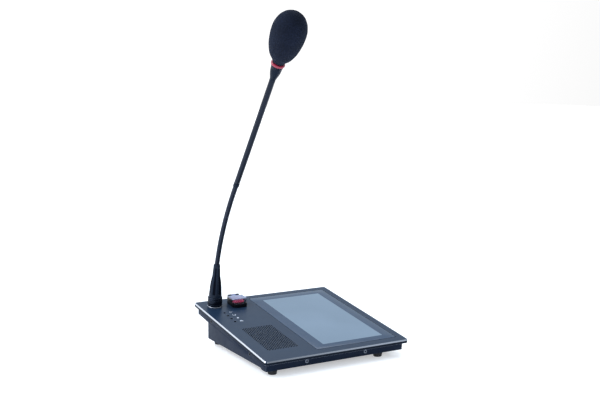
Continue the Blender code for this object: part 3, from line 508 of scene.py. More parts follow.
FINISHES = {
    "anodised_top": (anodised, {}),
    # the faceplate's side rim is the same anodised aluminium, painted darker as shade
    "anodised_rim": (anodised, {"base": rgb(15, 24, 38), "gloss": 0.04}),
    "cut_edge": (cut_edge, {}),
    # front chamfer: paler, bluer colours that brighten towards the right are a painted highlight
    "cut_edge_dim": (cut_edge, {"dull": rgb(214, 222, 240), "bright": rgb(246, 248, 255), "left_share": 0.5}),
    "powder_coat": (powder_coat, {}),
    "black_plastic": (moulded, {"base": rgb(8, 10, 17), "rough": 0.30, "rubbed": 1.5, "gloss": 0.15}),
    "boot_black": (moulded, {"base": rgb(22, 33, 49), "rough": 0.34, "texture": 2400.0, "depth": 0.00001,
                             "gloss": 0.12}),
    # near-black colour painted in as shade in holes, recesses, flutes and round the glass's edge
    "hole_black": (moulded, {"base": rgb(6, 11, 24), "rough": 0.6, "gloss": 0.05}),
    "panel": (moulded, {"base": rgb(120, 140, 166), "rough": 0.3}),
    "neck_metal": (satin_metal, {"base": rgb(31, 37, 50)}),
    "stem_metal": (satin_metal, {"base": rgb(17, 25, 40), "rough": 0.36, "stretch": (1.0, 1.0, 12.0),
                                 "metallic": 0.7}),
    "head_metal": (satin_metal, {"base": rgb(16, 25, 40), "rough": 0.42, "metallic": 0.4, "gloss": 0.12}),
    "collar_metal": (satin_metal, {"base": rgb(22, 29, 41), "rough": 0.26}),
    "screw_metal": (satin_metal, {"base": rgb(108, 116, 130)}),
    "screw_dark": (satin_metal, {"base": rgb(24, 28, 38), "rough": 0.40, "metallic": 0.6}),
    "zinc": (satin_metal, {"base": rgb(168, 172, 176), "metallic": 1.0}),
    "magnet_grey": (satin_metal, {"base": rgb(80, 82, 88), "rough": 0.5, "metallic": 0.5}),
    "bright_plate": (bright_plate, {}),
    "socket_nickel": (bright_plate, {"base": rgb(158, 162, 172)}),
    "nickel_shell": (bright_plate, {"base": rgb(150, 154, 162)}),
    "gold": (bright_plate, {"base": rgb(232, 190, 104)}),
    "rubber": (rubber, {}),
    "open_cell_foam": (open_cell_foam, {}),
    "printed_glass": (printed_glass, {}),
    # the lid's top lets under half the light through and shows a pale blue-lilac base: a painted reflection
    # of the sky
    "clear_moulding": (clear_moulding, {}),
    "clear_side": (clear_moulding, {
        "through": 0.94, "clean": rgb(226, 230, 246), "dull": rgb(206, 212, 236)}),
    "ring_red": (red_moulding, {"base": rgb(168, 30, 66), "through": 0.2, "rough": 0.24}),
    # the cap's emission is a painted glow that lightens it in the shade under the lid
    "cap_red": (red_moulding, {"base": rgb(205, 40, 84), "through": 0.05, "rough": 0.28, "painted_glow": 0.38}),
    "smoked_lens": (smoked_lens, {}),
    "white_print": (white_print, {}),
    "board_green": (board_green, {}),
    "woven_cloth": (woven_cloth, {}),
    "pressed_paper": (pressed_paper, {}),
}
MATERIALS = {}


def finish_of(name):
    """Each finish is made once, when a piece first asks for it."""
    if name not in MATERIALS:
        make, settings = FINISHES[name]
        MATERIALS[name] = make(name, **settings).material
    return MATERIALS[name]


# ---------------------------------------------------------------- mesh tools

def linked(name, data, at=None):
    """A new object in the scene."""
    made = bpy.data.objects.new(name, data)
    bpy.context.scene.collection.objects.link(made)
    if at is not None:
        made.matrix_world = at
    return made


def mesh_from(bm, name):
    """The bmesh as a mesh, with its faces turned outwards."""
    bmesh.ops.recalc_face_normals(bm, faces=bm.faces)
    mesh = bpy.data.meshes.new(name)
    bm.to_mesh(mesh)
    bm.free()
    return mesh


def piece(name, bm, finishes, body, replaces=(), at=None, smooth=35.0, rides=True):
    """Makes a named piece from a bmesh and lets it ride on a CAD body."""
    mesh = mesh_from(bm, name)
    if smooth:
        mesh.shade_smooth()
        mesh.set_sharp_from_angle(angle=math.radians(smooth))
    for finish in [finishes] if isinstance(finishes, str) else finishes:
        mesh.materials.append(finish_of(finish))
    mark_edges(mesh)
    made = linked(name, mesh, at)
    if rides:
        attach(made, body)
    if replaces:
        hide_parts(*replaces)
    return made


def mark_edges(mesh):
    """Stores on each face how tightly it is rounded over, from 0 to 1, as "edge"."""
    bm = bmesh.new()
    bm.from_mesh(mesh)
    bm.normal_update()
    values = []
    for face in bm.faces:
        turn = 0.0
        for edge in face.edges:
            if len(edge.link_faces) == 2 and edge.is_convex:
                turn += edge.calc_face_angle(0.0) * edge.calc_length()
        tightness = turn / max(2.0 * face.calc_area(), 1e-12)
        values.append(max(0.0, min(1.0, (tightness - EDGE_SOFT) / EDGE_SPAN)))
    bm.free()
    attribute = mesh.attributes.new("edge", "FLOAT", "FACE")
    attribute.data.foreach_set("value", values)


def circle(radius, steps, height=0.0, centre=(0.0, 0.0)):
    turn = 2 * math.pi / steps
    return [
        (centre[0] + radius * math.cos(k * turn), centre[1] + radius * math.sin(k * turn), height)
        for k in range(steps)
    ]


def ring_of(bm, radius, steps, height):
    """Vertices round a circle, or one where the radius is nothing."""
    if radius < 1e-7:
        return [bm.verts.new((0.0, 0.0, height))]
    return [bm.verts.new(point) for point in circle(radius, steps, height)]


def bridged(bm, rings):
    for low, high in zip(rings, rings[1:]):
        bridge(bm, low, high)


def rounded_box(box, radius, steps=8):
    low_u, low_v, high_u, high_v = box
    corners = (
        (high_u - radius, low_v + radius, -90),
        (high_u - radius, high_v - radius, 0),
        (low_u + radius, high_v - radius, 90),
        (low_u + radius, low_v + radius, 180),
    )
    outline = []
    for u, v, start in corners:
        for k in range(steps + 1):
            angle = math.radians(start + 90 * k / steps)
            outline.append((u + radius * math.cos(angle), v + radius * math.sin(angle)))
    return outline


def grown(box, margin):
    return (box[0] - margin, box[1] - margin, box[2] + margin, box[3] + margin)


def prism(outline, low, high, bm=None):
    return stacked([(outline, low), (outline, high)], bm)


def stacked(layers, bm=None):
    """A closed skin through outlines that have one point count, each at its own height."""
    bm = bm or bmesh.new()
    rings = [[bm.verts.new((*point[:2], height)) for point in outline] for outline, height in layers]
    bridged(bm, rings)
    bm.faces.new(rings[0][::-1])
    bm.faces.new(rings[-1])
    return bm


def soft_slab(box, low, high, radius, edge, steps=8):
    """A rounded rectangle with its top edge rounded over."""
    outline = rounded_box(box, radius, steps)
    layers = [(outline, low), (outline, high - edge)]
    for k in range(1, 5):
        angle = math.radians(90 * k / 4)
        inset = edge * (1 - math.cos(angle))
        layers.append((rounded_box(grown(box, -inset), radius - inset, steps),
                       high - edge + edge * math.sin(angle)))
    return stacked(layers)


def bridge(bm, low, high):
    """Faces between two rings of vertices, either of which may be one point."""
    count = max(len(low), len(high))
    for k in range(count):
        j = (k + 1) % count
        if len(low) == 1:
            bm.faces.new((low[0], high[j], high[k]))
        elif len(high) == 1:
            bm.faces.new((low[k], low[j], high[0]))
        else:
            bm.faces.new((low[k], low[j], high[j], high[k]))


def eased(profile, size):
    """The profile with each of its corners cut to a small round of that size."""
    points = [Vector(point) for point in profile]
    result = [points[0]]
    for before, corner, after in zip(points, points[1:], points[2:]):
        into, out = before - corner, after - corner
        reach = min(size, into.length * 0.45, out.length * 0.45)
        if into.length < 1e-9 or out.length < 1e-9 or abs(into.angle(out) - math.pi) < 0.15:
            result.append(corner)
            continue
        start, end = corner + into.normalized() * reach, corner + out.normalized() * reach
        for t in (0.0, 0.33, 0.67, 1.0):
            result.append(start * (1 - t) ** 2 + corner * 2 * t * (1 - t) + end * t ** 2)
    result.append(points[-1])
    return [tuple(point) for point in result]


def turned(profile, steps=64, closed=False):
    """Solid of revolution about Z through (radius, height) points."""
    bm = bmesh.new()
    rings = [ring_of(bm, radius, steps, height) for radius, height in profile]
    bridged(bm, rings)
    if closed:
        bridge(bm, rings[-1], rings[0])
        return bm
    for end in (rings[0], rings[-1]):
        if len(end) > 1:
            bm.faces.new(end)
    return bm


def carved(base, cutters, joins=()):
    """The base solid with shapes joined to it and shapes cut out of it, exactly."""
    body = linked("carved", mesh_from(base, "carved"))
    tools = []
    for operation, shapes in (("UNION", joins), ("DIFFERENCE", cutters)):
        for shape in shapes:
            tool = linked("tool", mesh_from(shape, "tool"))
            modifier = body.modifiers.new("tool", "BOOLEAN")
            modifier.operation = operation
            modifier.solver = "EXACT"
            modifier.object = tool
            tools.append(tool)
    evaluated = body.evaluated_get(bpy.context.evaluated_depsgraph_get())
    mesh = bpy.data.meshes.new_from_object(evaluated)
    result = bmesh.new()
    result.from_mesh(mesh)
    for made in tools + [body]:
        old = made.data
        bpy.data.objects.remove(made)
        bpy.data.meshes.remove(old)
    bpy.data.meshes.remove(mesh)
    return result


def bevelled(bm, width, segments, angle):
    """Rounds every edge sharper than an angle."""
    bmesh.ops.remove_doubles(bm, verts=bm.verts, dist=1e-7)
    bmesh.ops.dissolve_limit(bm, angle_limit=math.radians(1), verts=bm.verts, edges=bm.edges)
    sharp = [
        edge for edge in bm.edges
        if len(edge.link_faces) == 2 and edge.calc_face_angle(0.0) > math.radians(angle)
    ]
    bmesh.ops.bevel(bm, geom=sharp, offset=width, segments=segments, profile=0.5,
                    affect="EDGES", clamp_overlap=True)
    return bm


def moved(bm, matrix):
    bm.transform(matrix)
    return bm


# ---------------------------------------------------------------- faceplate

def sunk_hole(radius, centre, steps, bm):
    """Cutter for a hole with a small countersink at the faceplate's top."""
    bore = circle(radius, steps, centre=centre)
    lip = circle(radius + HOLE_SINK, steps, centre=centre)
    return stacked([(bore, -0.006), (bore, -HOLE_SINK), (lip, 0.0), (lip, 0.002)], bm)


def grille_centres():
    """Staggered rows, with one hole more in every second row."""
    centre_u, centre_v = GRILLE_CENTRE
    for row in range(GRILLE_ROWS):
        count = GRILLE_COLUMNS + row % 2
        for column in range(count):
            yield (centre_u + (column - (count - 1) / 2) * GRILLE_PITCH,
                   centre_v + (row - (GRILLE_ROWS - 1) / 2) * GRILLE_PITCH / 2)


def light_centres():
    return [(LIGHT_U, LIGHT_FIRST_V + k * LIGHT_PITCH) for k in range(LIGHT_COUNT)]


def button_box(size):
    return (BUTTON_U - size[0] / 2, BUTTON_V - size[1] / 2,
            BUTTON_U + size[0] / 2, BUTTON_V + size[1] / 2)


# the fourth finish paints a highlight on the front chamfer; the third and fifth paint shade in the holes and
# pocket and on the side rim
PLATE_FINISHES = ("anodised_top", "cut_edge", "hole_black", "cut_edge_dim", "anodised_rim")


def build_faceplate():
    box = (0.0, 0.0, PLATE_WIDTH, PLATE_DEPTH)
    outline = rounded_box(box, PLATE_CORNER, 12)
    top = rounded_box(grown(box, -CHAMFER_WIDTH), PLATE_CORNER - CHAMFER_WIDTH, 12)
    low_edge = rounded_box(grown(box, -LOW_EDGE), PLATE_CORNER - LOW_EDGE, 12)
    base = stacked([(low_edge, -PLATE_RIM_DEPTH), (outline, -PLATE_RIM_DEPTH + LOW_EDGE),
                    (outline, -CHAMFER_DROP), (top, 0.0)])
    rim = prism(rounded_box(grown(box, -PLATE_RIM_INSET), 0.0015), -0.009, -PLATE_THICKNESS)
    pocket = grown(GLASS_BOX, GAP + 0.0003)
    low = rounded_box(pocket, GLASS_CORNER + GAP)
    high = rounded_box(grown(pocket, POCKET_EDGE), GLASS_CORNER + GAP)
    shallow = stacked([(low, -GLASS_THICKNESS - GAP), (low, -POCKET_EDGE), (high, 0.0), (high, 0.002)])
    window = prism(rounded_box(WINDOW_BOX, 0.001), -0.006, 0.001)
    holes = bmesh.new()
    for centre in grille_centres():
        sunk_hole(HOLE_RADIUS, centre, 12, holes)
    others = bmesh.new()
    sunk_hole(MIC_HOLE_RADIUS, (MIC_U, MIC_V), 64, others)
    for centre in light_centres():
        sunk_hole(LIGHT_HOLE_RADIUS, centre, 28, others)
    prism(rounded_box(grown(button_box(BUTTON_BODY), GAP), 0.0008), -0.006, 0.002, others)
    bm = carved(base, [rim, shallow, window, holes, others])
    for face in bm.faces:
        face.material_index = plate_finish(face.calc_center_median(), face.normal)
    piece("faceplate_skin", bm, PLATE_FINISHES, "console", ("faceplate",), PLATE, 20.0)


def plate_finish(middle, normal):
    """Bright on the chamfer with a painted highlight on its front stretch, painted shade on the rim below it,
    and painted shade in the holes and the glass's pocket.
    """
    outside = min(middle.x, middle.y, PLATE_WIDTH - middle.x, PLATE_DEPTH - middle.y) < CHAMFER_WIDTH
    if outside:
        if abs(normal.z) <= 0.2:
            return 4
        if 0.2 < normal.z < 0.97:
            return 3 if normal.y < -0.3 else 1
        return 0
    pocket_floor = normal.z > 0.9 and -0.002 < middle.z < -0.0005
    return 2 if pocket_floor or abs(normal.z) < 0.5 and middle.z < -HOLE_SINK / 2 else 0


# ---------------------------------------------------------------- display

def build_glass():
    bm = soft_slab(GLASS_BOX, -GLASS_THICKNESS, 0.0, GLASS_CORNER, 0.00022)
    cut_lines(bm, PICTURE_BOX)
    for face in bm.faces:
        # the glass's edge faces get the painted shade finish, a dark seam round the glass
        if abs(face.normal.z) < 0.5:
            face.material_index = 1
    made = piece("display_cover_glass", bm, ("printed_glass", "hole_black"), "console",
                 ("display_glass",), PLATE)
    attribute = made.data.attributes.new("picture", "FLOAT", "POINT")
    low_u, low_v, high_u, high_v = PICTURE_BOX
    attribute.data.foreach_set("value", [
        1.0 if low_u - 1e-6 < vert.co.x < high_u + 1e-6 and low_v - 1e-6 < vert.co.y < high_v + 1e-6
        and vert.co.z > -0.0001 else 0.0
        for vert in made.data.vertices
    ])


def cut_lines(bm, box):
    """Cuts the top along a box's four sides, twice, so that an attribute can change there."""
    low_u, low_v, high_u, high_v = box
    hair = 0.00012
    across = [((u, 0, 0), (1, 0, 0)) for u in (low_u, low_u - hair, high_u, high_u + hair)]
    along = [((0, v, 0), (0, 1, 0)) for v in (low_v, low_v - hair, high_v, high_v + hair)]
    for place, normal in across + along:
        bmesh.ops.bisect_plane(bm, geom=bm.verts[:] + bm.edges[:] + bm.faces[:],
                               plane_co=place, plane_no=normal)


# ---------------------------------------------------------------- status lights and icons

def build_lights():
    shoulder = -PLATE_THICKNESS - GAP
    profile = [
        (0.0, LENS_FOOT), (LENS_RADIUS, LENS_FOOT), (LENS_RADIUS, shoulder - 0.001),
        (LENS_SHOULDER, shoulder - 0.001), (LENS_SHOULDER, shoulder), (LENS_RADIUS, shoulder),
    ]
    for degrees in range(0, 90, 15):
        angle = math.radians(degrees)
        profile.append((LENS_RADIUS * math.cos(angle), LENS_RIM + LENS_DOME * math.sin(angle)))
    profile.append((0.0, LENS_RIM + LENS_DOME))
    for number, (u, v) in enumerate(light_centres(), 1):
        piece(f"light_lens_{number}", turned(profile, 32), "smoked_lens", "console",
              (f"light_pipe_{number}",), on_plate(u, v))


PRINT_LOW = 0.00001
PRINT_HIGH = 0.00005


def print_shape(outline, bm):
    """A thin printed shape on the faceplate's top."""
    return prism(outline, PRINT_LOW, PRINT_HIGH, bm)


def bar(low_u, low_v, high_u, high_v, bm):
    return print_shape(rounded_box((low_u, low_v, high_u, high_v), 0.00012, 3), bm)


def arc_band(centre, radius, width, start, end, bm):
    steps = 14
    angles = [math.radians(start + (end - start) * k / steps) for k in range(steps + 1)]

    def arc(reach, turns):
        return [(centre[0] + reach * math.cos(a), centre[1] + reach * math.sin(a)) for a in turns]
    return print_shape(arc(radius + width, angles) + arc(radius, reversed(angles)), bm)


def icon_sound(bm):
    print_shape([(-0.0022, -0.0008), (-0.0014, -0.0008), (-0.0003, -0.0021), (-0.0003, 0.0021),
                 (-0.0014, 0.0008), (-0.0022, 0.0008)], bm)
    arc_band((-0.0005, 0.0), 0.0011, 0.00045, -52, 52, bm)
    arc_band((-0.0005, 0.0), 0.0021, 0.00045, -52, 52, bm)


def icon_dot(bm):
    print_shape(circle(0.0014, 24), bm)


def icon_ready(bm):
    arc_band((0.0, 0.0002), 0.0015, 0.0006, 150, 390, bm)
    bar(-0.0021, 0.0008, -0.0014, 0.0019, bm)
    bar(0.0014, 0.0008, 0.0021, 0.0019, bm)


def icon_link(bm):
    bar(-0.0016, -0.0012, 0.0016, -0.0009, bm)
    bar(-0.0016, 0.0009, 0.0016, 0.0012, bm)
    bar(-0.0016, -0.00085, -0.0013, 0.00085, bm)
    bar(0.0013, -0.00085, 0.0016, 0.00085, bm)


def build_icons():
    makers = (icon_sound, icon_dot, icon_ready, icon_link)
    for number, (make, (_, v)) in enumerate(zip(makers, light_centres()), 1):
        bm = bmesh.new()
        make(bm)
        piece(f"status_icon_{number}", bm, "white_print", "console", (), on_plate(ICON_U, v), 0)


# ---------------------------------------------------------------- guarded button

def along_hinge(radius, start, end):
    return moved(prism(circle(radius, 40), start, end), Matrix.Rotation(math.radians(90), 4, "Y"))


def corners_of(box):
    return [(box[0], box[1]), (box[2], box[1]), (box[2], box[3]), (box[0], box[3])]


HINGE_SHIFT = Matrix.Translation((BUTTON_U, HINGE_V, HINGE_W))


def build_bezel():
    base = soft_slab(button_box(BUTTON_SIZE), GAP, BUTTON_RISE, BUTTON_CORNER, 0.0007, 10)
    joins = [prism(rounded_box(button_box(BUTTON_BODY), 0.0005), -BUTTON_DROP, 0.001)]
    for start, end in EARS:
        ear = prism(corners_of((start, -KNUCKLE, end, KNUCKLE)), BUTTON_RISE - 0.0012 - HINGE_W, 0.0)
        joins.append(moved(ear, HINGE_SHIFT))
        joins.append(moved(along_hinge(KNUCKLE, start, end), HINGE_SHIFT))
    inner, front, outer, rear = GUARD_BOX
    for low, high in ((-outer, -inner), (inner, outer)):
        wall = (BUTTON_U + low, front, BUTTON_U + high, rear)
        joins.append(soft_slab(wall, BUTTON_RISE - GUARD_ROOT, GUARD_TOP, 0.0006, 0.0003, 5))
    side = CAP_SIDE / 2 + GAP
    opening = (BUTTON_U - side, CAP_V - side, BUTTON_U + side, CAP_V + side)
    straight = rounded_box(opening, CAP_CORNER)
    flared = rounded_box(grown(opening, 0.0004), CAP_CORNER + 0.0004)
    well = stacked([(straight, -0.012), (straight, BUTTON_RISE - 0.0004), (flared, BUTTON_RISE),
                    (flared, 0.012)])
    bore = moved(along_hinge(HINGE_PIN + GAP, -0.012, 0.012), HINGE_SHIFT)
    bm = carved(base, [well, bore], joins)
    piece("button_frame", bm, "black_plastic", "console", ("button_bezel",), PLATE, 28.0)


def build_cap():
    """Red cap with a shallow dish for the finger."""
    half = CAP_SIDE / 2
    box = (-half, -half, half, half)
    outline = rounded_box(box, CAP_CORNER, 6)
    layers = [(outline, 0.0), (outline, CAP_TOP - 0.0011)]
    for inset, drop in ((0.00015, 0.0006), (0.0005, 0.0002), (0.0010, 0.00003), (0.0016, 0.0),
                        (0.0026, 0.0002), (0.0038, 0.00042)):
        corner = max(CAP_CORNER - inset, 0.0004) + inset * 0.4
        layers.append((rounded_box(grown(box, -inset), corner, 6), CAP_TOP - drop))
    piece("call_cap", stacked(layers), "cap_red", "button", ("button_cap",),
          on_plate(BUTTON_U, CAP_V), 50.0)


def build_lid():
    """Clear lid with a skirt at its front and a shallow lip along each side."""
    half = BUTTON_SIZE[0] / 2
    front = LID_FRONT_V - HINGE_V
    rear = -KNUCKLE - 0.0007
    top = LID_TOP - HINGE_W
    low = BUTTON_RISE + GAP - HINGE_W
    skirt_rear = front + LID_SKIRT_THICKNESS
    base = soft_slab((-half, front, half, rear), low, top, 0.0010, 0.0005, 6)
    inside = (-half + LID_THICKNESS, skirt_rear, half - LID_THICKNESS, rear + 0.01)
    hollow = prism(rounded_box(inside, 0.0005, 4), low - 0.002, top - LID_THICKNESS)
    below = (-half - 0.01, skirt_rear, half + 0.01, rear + 0.01)
    sides = prism(rounded_box(below, 0.0004, 4), low - 0.003, top - LID_THICKNESS - LID_LIP)
    start, end = EARS[0][1] + GAP, EARS[1][0] - GAP
    arm = prism(corners_of((start, rear - 0.001, end, 0.0)), top - LID_THICKNESS, top - 0.0001)
    barrel = along_hinge(KNUCKLE, start, end)
    bore = along_hinge(HINGE_PIN + GAP, -0.02, 0.02)
    shell = carved(base, [hollow, sides])
    bm = carved(shell, [bore], [arm, barrel])
    for face in bm.faces:
        if face.calc_center_median().z < top - LID_THICKNESS + 0.0001 and face.normal.z < 0.5:
            face.material_index = 1
    piece("clear_lid", bm, ("clear_moulding", "clear_side"), "lid", ("button_lid",),
          PLATE @ HINGE_SHIFT, 30.0)


# ---------------------------------------------------------------- housing, feet and screws

def wall_screws():
    """(CAD node, outer face centre, outward direction) of each screw in the walls."""
    screws = []
    for side, sign in (("left", -1), ("right", 1)):
        for name, outward in ((f"{side}_screw_1", (sign, 0, 0)), (f"{side}_screw_2", (sign, 0, 0)),
                              (f"front_screw_{side}", (0, -1, 0))):
            low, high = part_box(name)
            centre = (low + high) / 2
            axis = 0 if outward[0] else 1
            centre[axis] = high[axis] if outward[axis] > 0 else low[axis]
            screws.append((name, centre, Vector(outward)))
    return screws


def build_wall_screws():
    """Countersunk screws with a six-sided recess painted dark as shade."""
    profile = eased([
        (0.0, -SCREW_LENGTH), (SCREW_SHANK, -SCREW_LENGTH), (SCREW_SHANK, -0.0022), (SCREW_HEAD, -0.0010),
        (SCREW_HEAD, 0.0), (0.0, 0.0),
    ], 0.00018)
    for name, centre, outward in wall_screws():
        recess = stacked([
            (circle(RECESS_RADIUS + wider, 6), height)
            for wider, height in ((0.0, -RECESS_DEPTH), (0.0002, -0.0001), (0.00035, 0.0005))
        ])
        bm = carved(turned(profile, 40), [recess])
        # the recess is painted dark as shade
        for face in bm.faces:
            middle = face.calc_center_median()
            if middle.xy.length < RECESS_RADIUS + 0.00022 and middle.z > -RECESS_DEPTH - 0.0001:
                face.material_index = 1
        at = Matrix.Translation(centre) @ outward.to_track_quat("Z", "Y").to_matrix().to_4x4()
        finish = "screw_metal" if name.startswith("front") else "screw_dark"
        piece(f"{name}_head", bm, (finish, "hole_black"), "console", (name,), at, 25.0)


def build_housing():
    """Sheet body: the CAD shape again, with rounded folds."""
    bm = bmesh.new()
    bm.from_mesh(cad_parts["housing"].data)
    bmesh.ops.remove_doubles(bm, verts=bm.verts, dist=1e-6)
    bevelled(bm, 0.0006, 3, 35.0)
    piece("housing_body", bm, "powder_coat", "console", ("housing",), None, 40.0)


FEET = ("front_left", "front_right", "rear_left", "rear_right")
FOOT_RADIUS = 0.0058
FOOT_BORE = 0.0017


def build_feet():
    """Rubber feet, each with a well for its screw in its underside."""
    for name in FEET:
        low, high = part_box(f"foot_{name}")
        centre = (low + high) / 2
        top = high.z
        profile = eased([
            (FOOT_BORE, 0.0026), (0.0031, 0.0026), (0.0031, 0.0), (0.0051, 0.0), (0.0054, 0.0016),
            (FOOT_RADIUS, top - 0.0008), (FOOT_RADIUS - 0.0001, top), (FOOT_BORE, top), (FOOT_BORE, 0.0026),
        ], 0.0004)
        bm = turned(profile[:-1], 56, True)
        piece(f"rubber_foot_{name}", bm, "rubber", "console", (f"foot_{name}",),
              Matrix.Translation((centre.x, centre.y, 0.0)), 40.0)


# ---------------------------------------------------------------- sockets at the rear

MOUTH = (0.0059, 0.0021, 0.0103)  # half width, then low and high above the socket's bottom
MOUTH_DEPTH = 0.0129
CONTACTS = 8
CONTACT_PITCH = 0.00102
CONTACT_HALF_WIDTH = 0.00022
CONTACT_REACH = (0.0118, 0.0018)  # in from the rear face
CONTACT_HEIGHT = (0.0096, 0.0100)  # above the socket's bottom


def build_network_socket():
    low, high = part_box("network_socket")
    shell = soft_slab((low.x, low.z, high.x, high.z), -high.y, -low.y, 0.0006, 0.0002)
    turn = Matrix(((1, 0, 0, 0), (0, 0, -1, 0), (0, 1, 0, 0), (0, 0, 0, 1)))
    moved(shell, turn)
    middle = (low.x + high.x) / 2
    rear = high.y
    base = low.z
    wide, bottom, top = MOUTH
    opening = (middle - wide, base + bottom, middle + wide, base + top)
    mouth = moved(prism(corners_of(opening), -rear - 0.002, -rear + MOUTH_DEPTH), turn)
    bm = carved(shell, [mouth])
    hair = 1e-5
    for face in bm.faces:
        place = face.calc_center_median()
        within = abs(place.x - middle) < wide + hair and base + bottom - hair < place.z < base + top + hair
        if within and rear - MOUTH_DEPTH - 0.0002 < place.y < rear - 0.0003:
            face.material_index = 1
    piece("network_shell", bm, ("nickel_shell", "black_plastic"), "console",
          ("network_socket",), None, 30.0)
    contacts = bmesh.new()
    (far, near), (under, over) = CONTACT_REACH, CONTACT_HEIGHT
    for k in range(CONTACTS):
        x = middle + (k - (CONTACTS - 1) / 2) * CONTACT_PITCH
        box = (x - CONTACT_HALF_WIDTH, rear - far, x + CONTACT_HALF_WIDTH, rear - near)
        prism(rounded_box(box, 0.0001, 2), base + under, base + over, contacts)
    piece("network_contacts", contacts, "gold", "console", (), None, 30.0)


POWER_JACK_HEIGHT = 0.0062        # above the socket's bottom
POWER_JACK_DEPTH = 0.0100
POWER_PIN_RADIUS = 0.0010


def build_power_socket():
    low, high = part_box("power_socket")
    middle = (low.x + high.x) / 2
    facing = Vector((0, 1, 0)).to_track_quat("Z", "Y").to_matrix().to_4x4()
    at = Matrix.Translation((middle, high.y, low.z + POWER_JACK_HEIGHT)) @ facing
    inverse = at.inverted()
    corners = [inverse @ Vector((x, y, z))
               for x in (low.x, high.x) for y in (low.y, high.y) for z in (low.z, high.z)]
    xs, ys, zs = ([corner[axis] for corner in corners] for axis in range(3))
    base = soft_slab((min(xs), min(ys), max(xs), max(ys)), min(zs), max(zs), 0.0007, 0.0003)
    well = turned([(POWER_PIN_RADIUS, -POWER_JACK_DEPTH), (0.0031, -POWER_JACK_DEPTH), (0.0031, -0.0004),
                   (0.0035, 0.0), (0.0035, 0.001), (POWER_PIN_RADIUS, 0.001)], 48, True)
    tip = prism(circle(0.0029, 48), -0.0020, 0.0020)
    bm = carved(base, [well, tip])
    piece("power_body", bm, "black_plastic", "console", ("power_socket",), at, 30.0)
    pin = turned(eased([(0.0, -0.0099), (0.00104, -0.0099), (0.00104, -0.0021), (0.0, -0.0019)], 0.0003), 32)
    piece("power_pin", pin, "bright_plate", "console", (), at, 30.0)


# ---------------------------------------------------------------- microphone plug

def build_plug():
    ring = eased([
        (RING_INNER, GAP), (RING_OUTER, GAP), (RING_OUTER, RING_TOP - 0.0004),
        (RING_OUTER - 0.0004, RING_TOP), (RING_INNER, RING_TOP), (RING_INNER, GAP),
    ], 0.0002)
    piece("bright_socket_ring", turned(ring[:-1], 96, True), "socket_nickel", "console",
          ("socket_ring",), MIC, 50.0)
    grooves = []
    for height in COLLAR_GROOVES:
        grooves += [(COLLAR_RADIUS, height), (COLLAR_RADIUS - GROOVE_DEPTH, height + 0.0002),
                    (COLLAR_RADIUS - GROOVE_DEPTH, height + 0.0005), (COLLAR_RADIUS, height + 0.0007)]
    collar = eased([
        (COLLAR_BORE, COLLAR_LOW), (COLLAR_RADIUS - 0.0002, COLLAR_LOW), (COLLAR_RADIUS, COLLAR_LOW + 0.0003),
        *grooves, (COLLAR_RADIUS, COLLAR_TOP - 0.0007), (COLLAR_RADIUS - 0.0006, COLLAR_TOP),
        (COLLAR_BORE, COLLAR_TOP), (COLLAR_BORE, COLLAR_LOW),
    ], 0.00012)
    piece("plug_collar_ring", turned(collar[:-1], 96, True), "collar_metal", "plug",
          ("plug_collar",), MIC, 50.0)


BOOT_SIDES = (
    (0.0084, 0.0134), (0.0083, 0.0160), (0.0079, 0.0207), (0.0077, 0.0247), (0.0073, 0.0288),
    (0.0069, 0.0328), (0.0061, 0.0369), (0.0053, 0.0409), (0.0050, 0.0450), (0.0047, 0.0491),
    (0.0045, 0.0531), (0.0043, 0.0561), (0.0040, 0.0565),
)
FLUTES = 6
FLUTE_TURN = math.radians(-128.0)
FLUTE_DEPTH = 0.0010
FLUTE_LOW = 0.0165
FLUTE_HIGH = 0.0545
BOOT_LIP = ((0.0042, 0.05645), (0.0039, 0.05650), (0.0035, 0.0561), (0.0035, 0.0345))


def boot_radius(height):
    radii, heights = zip(*BOOT_SIDES)
    return float(np.interp(height, heights, radii))


def build_boot():
    """Tapered boot with long flutes that fade out towards both ends; the flute floors are painted dark as
    shade.
    """
    steps, rows = 128, 90
    low, high = BOOT_SIDES[0][1], BOOT_SIDES[-2][1]
    bm = bmesh.new()
    rings = []
    for row in range(rows + 1):
        height = low + (high - low) * row / rows
        radius = boot_radius(height)
        fade = max(0.0, min(1.0, (height - FLUTE_LOW) / 0.0016, (FLUTE_HIGH - height) / 0.004))
        depth = FLUTE_DEPTH * fade * (radius / 0.0080) ** 0.5
        ring = []
        for k in range(steps):
            angle = 2 * math.pi * k / steps
            wave = 0.5 + 0.5 * math.cos(FLUTES * (angle - FLUTE_TURN))
            groove = max(0.0, min(1.0, (wave - 0.45) / 0.25))
            r = radius - depth * groove * groove * (3 - 2 * groove)
            ring.append(bm.verts.new((r * math.cos(angle), r * math.sin(angle), height)))
        rings.append(ring)
    for radius, height in BOOT_LIP:
        rings.append(ring_of(bm, radius, steps, height))
    rings.insert(0, ring_of(bm, 0.0081, steps, low))
    bridged(bm, rings)
    bm.faces.new(rings[0])
    bm.faces.new(rings[-1])
    # faces deep in the flutes are painted dark as shade
    for face in bm.faces:
        middle = face.calc_center_median()
        if low < middle.z < high and middle.xy.length < boot_radius(middle.z) - 0.00045:
            face.material_index = 1
    piece("cable_boot", bm, ("boot_black", "hole_black"), "plug", ("boot",), MIC, 45.0)


# ---------------------------------------------------------------- flexible neck

NECK_TUCK = -0.030                # share of the neck that runs on down into the boot


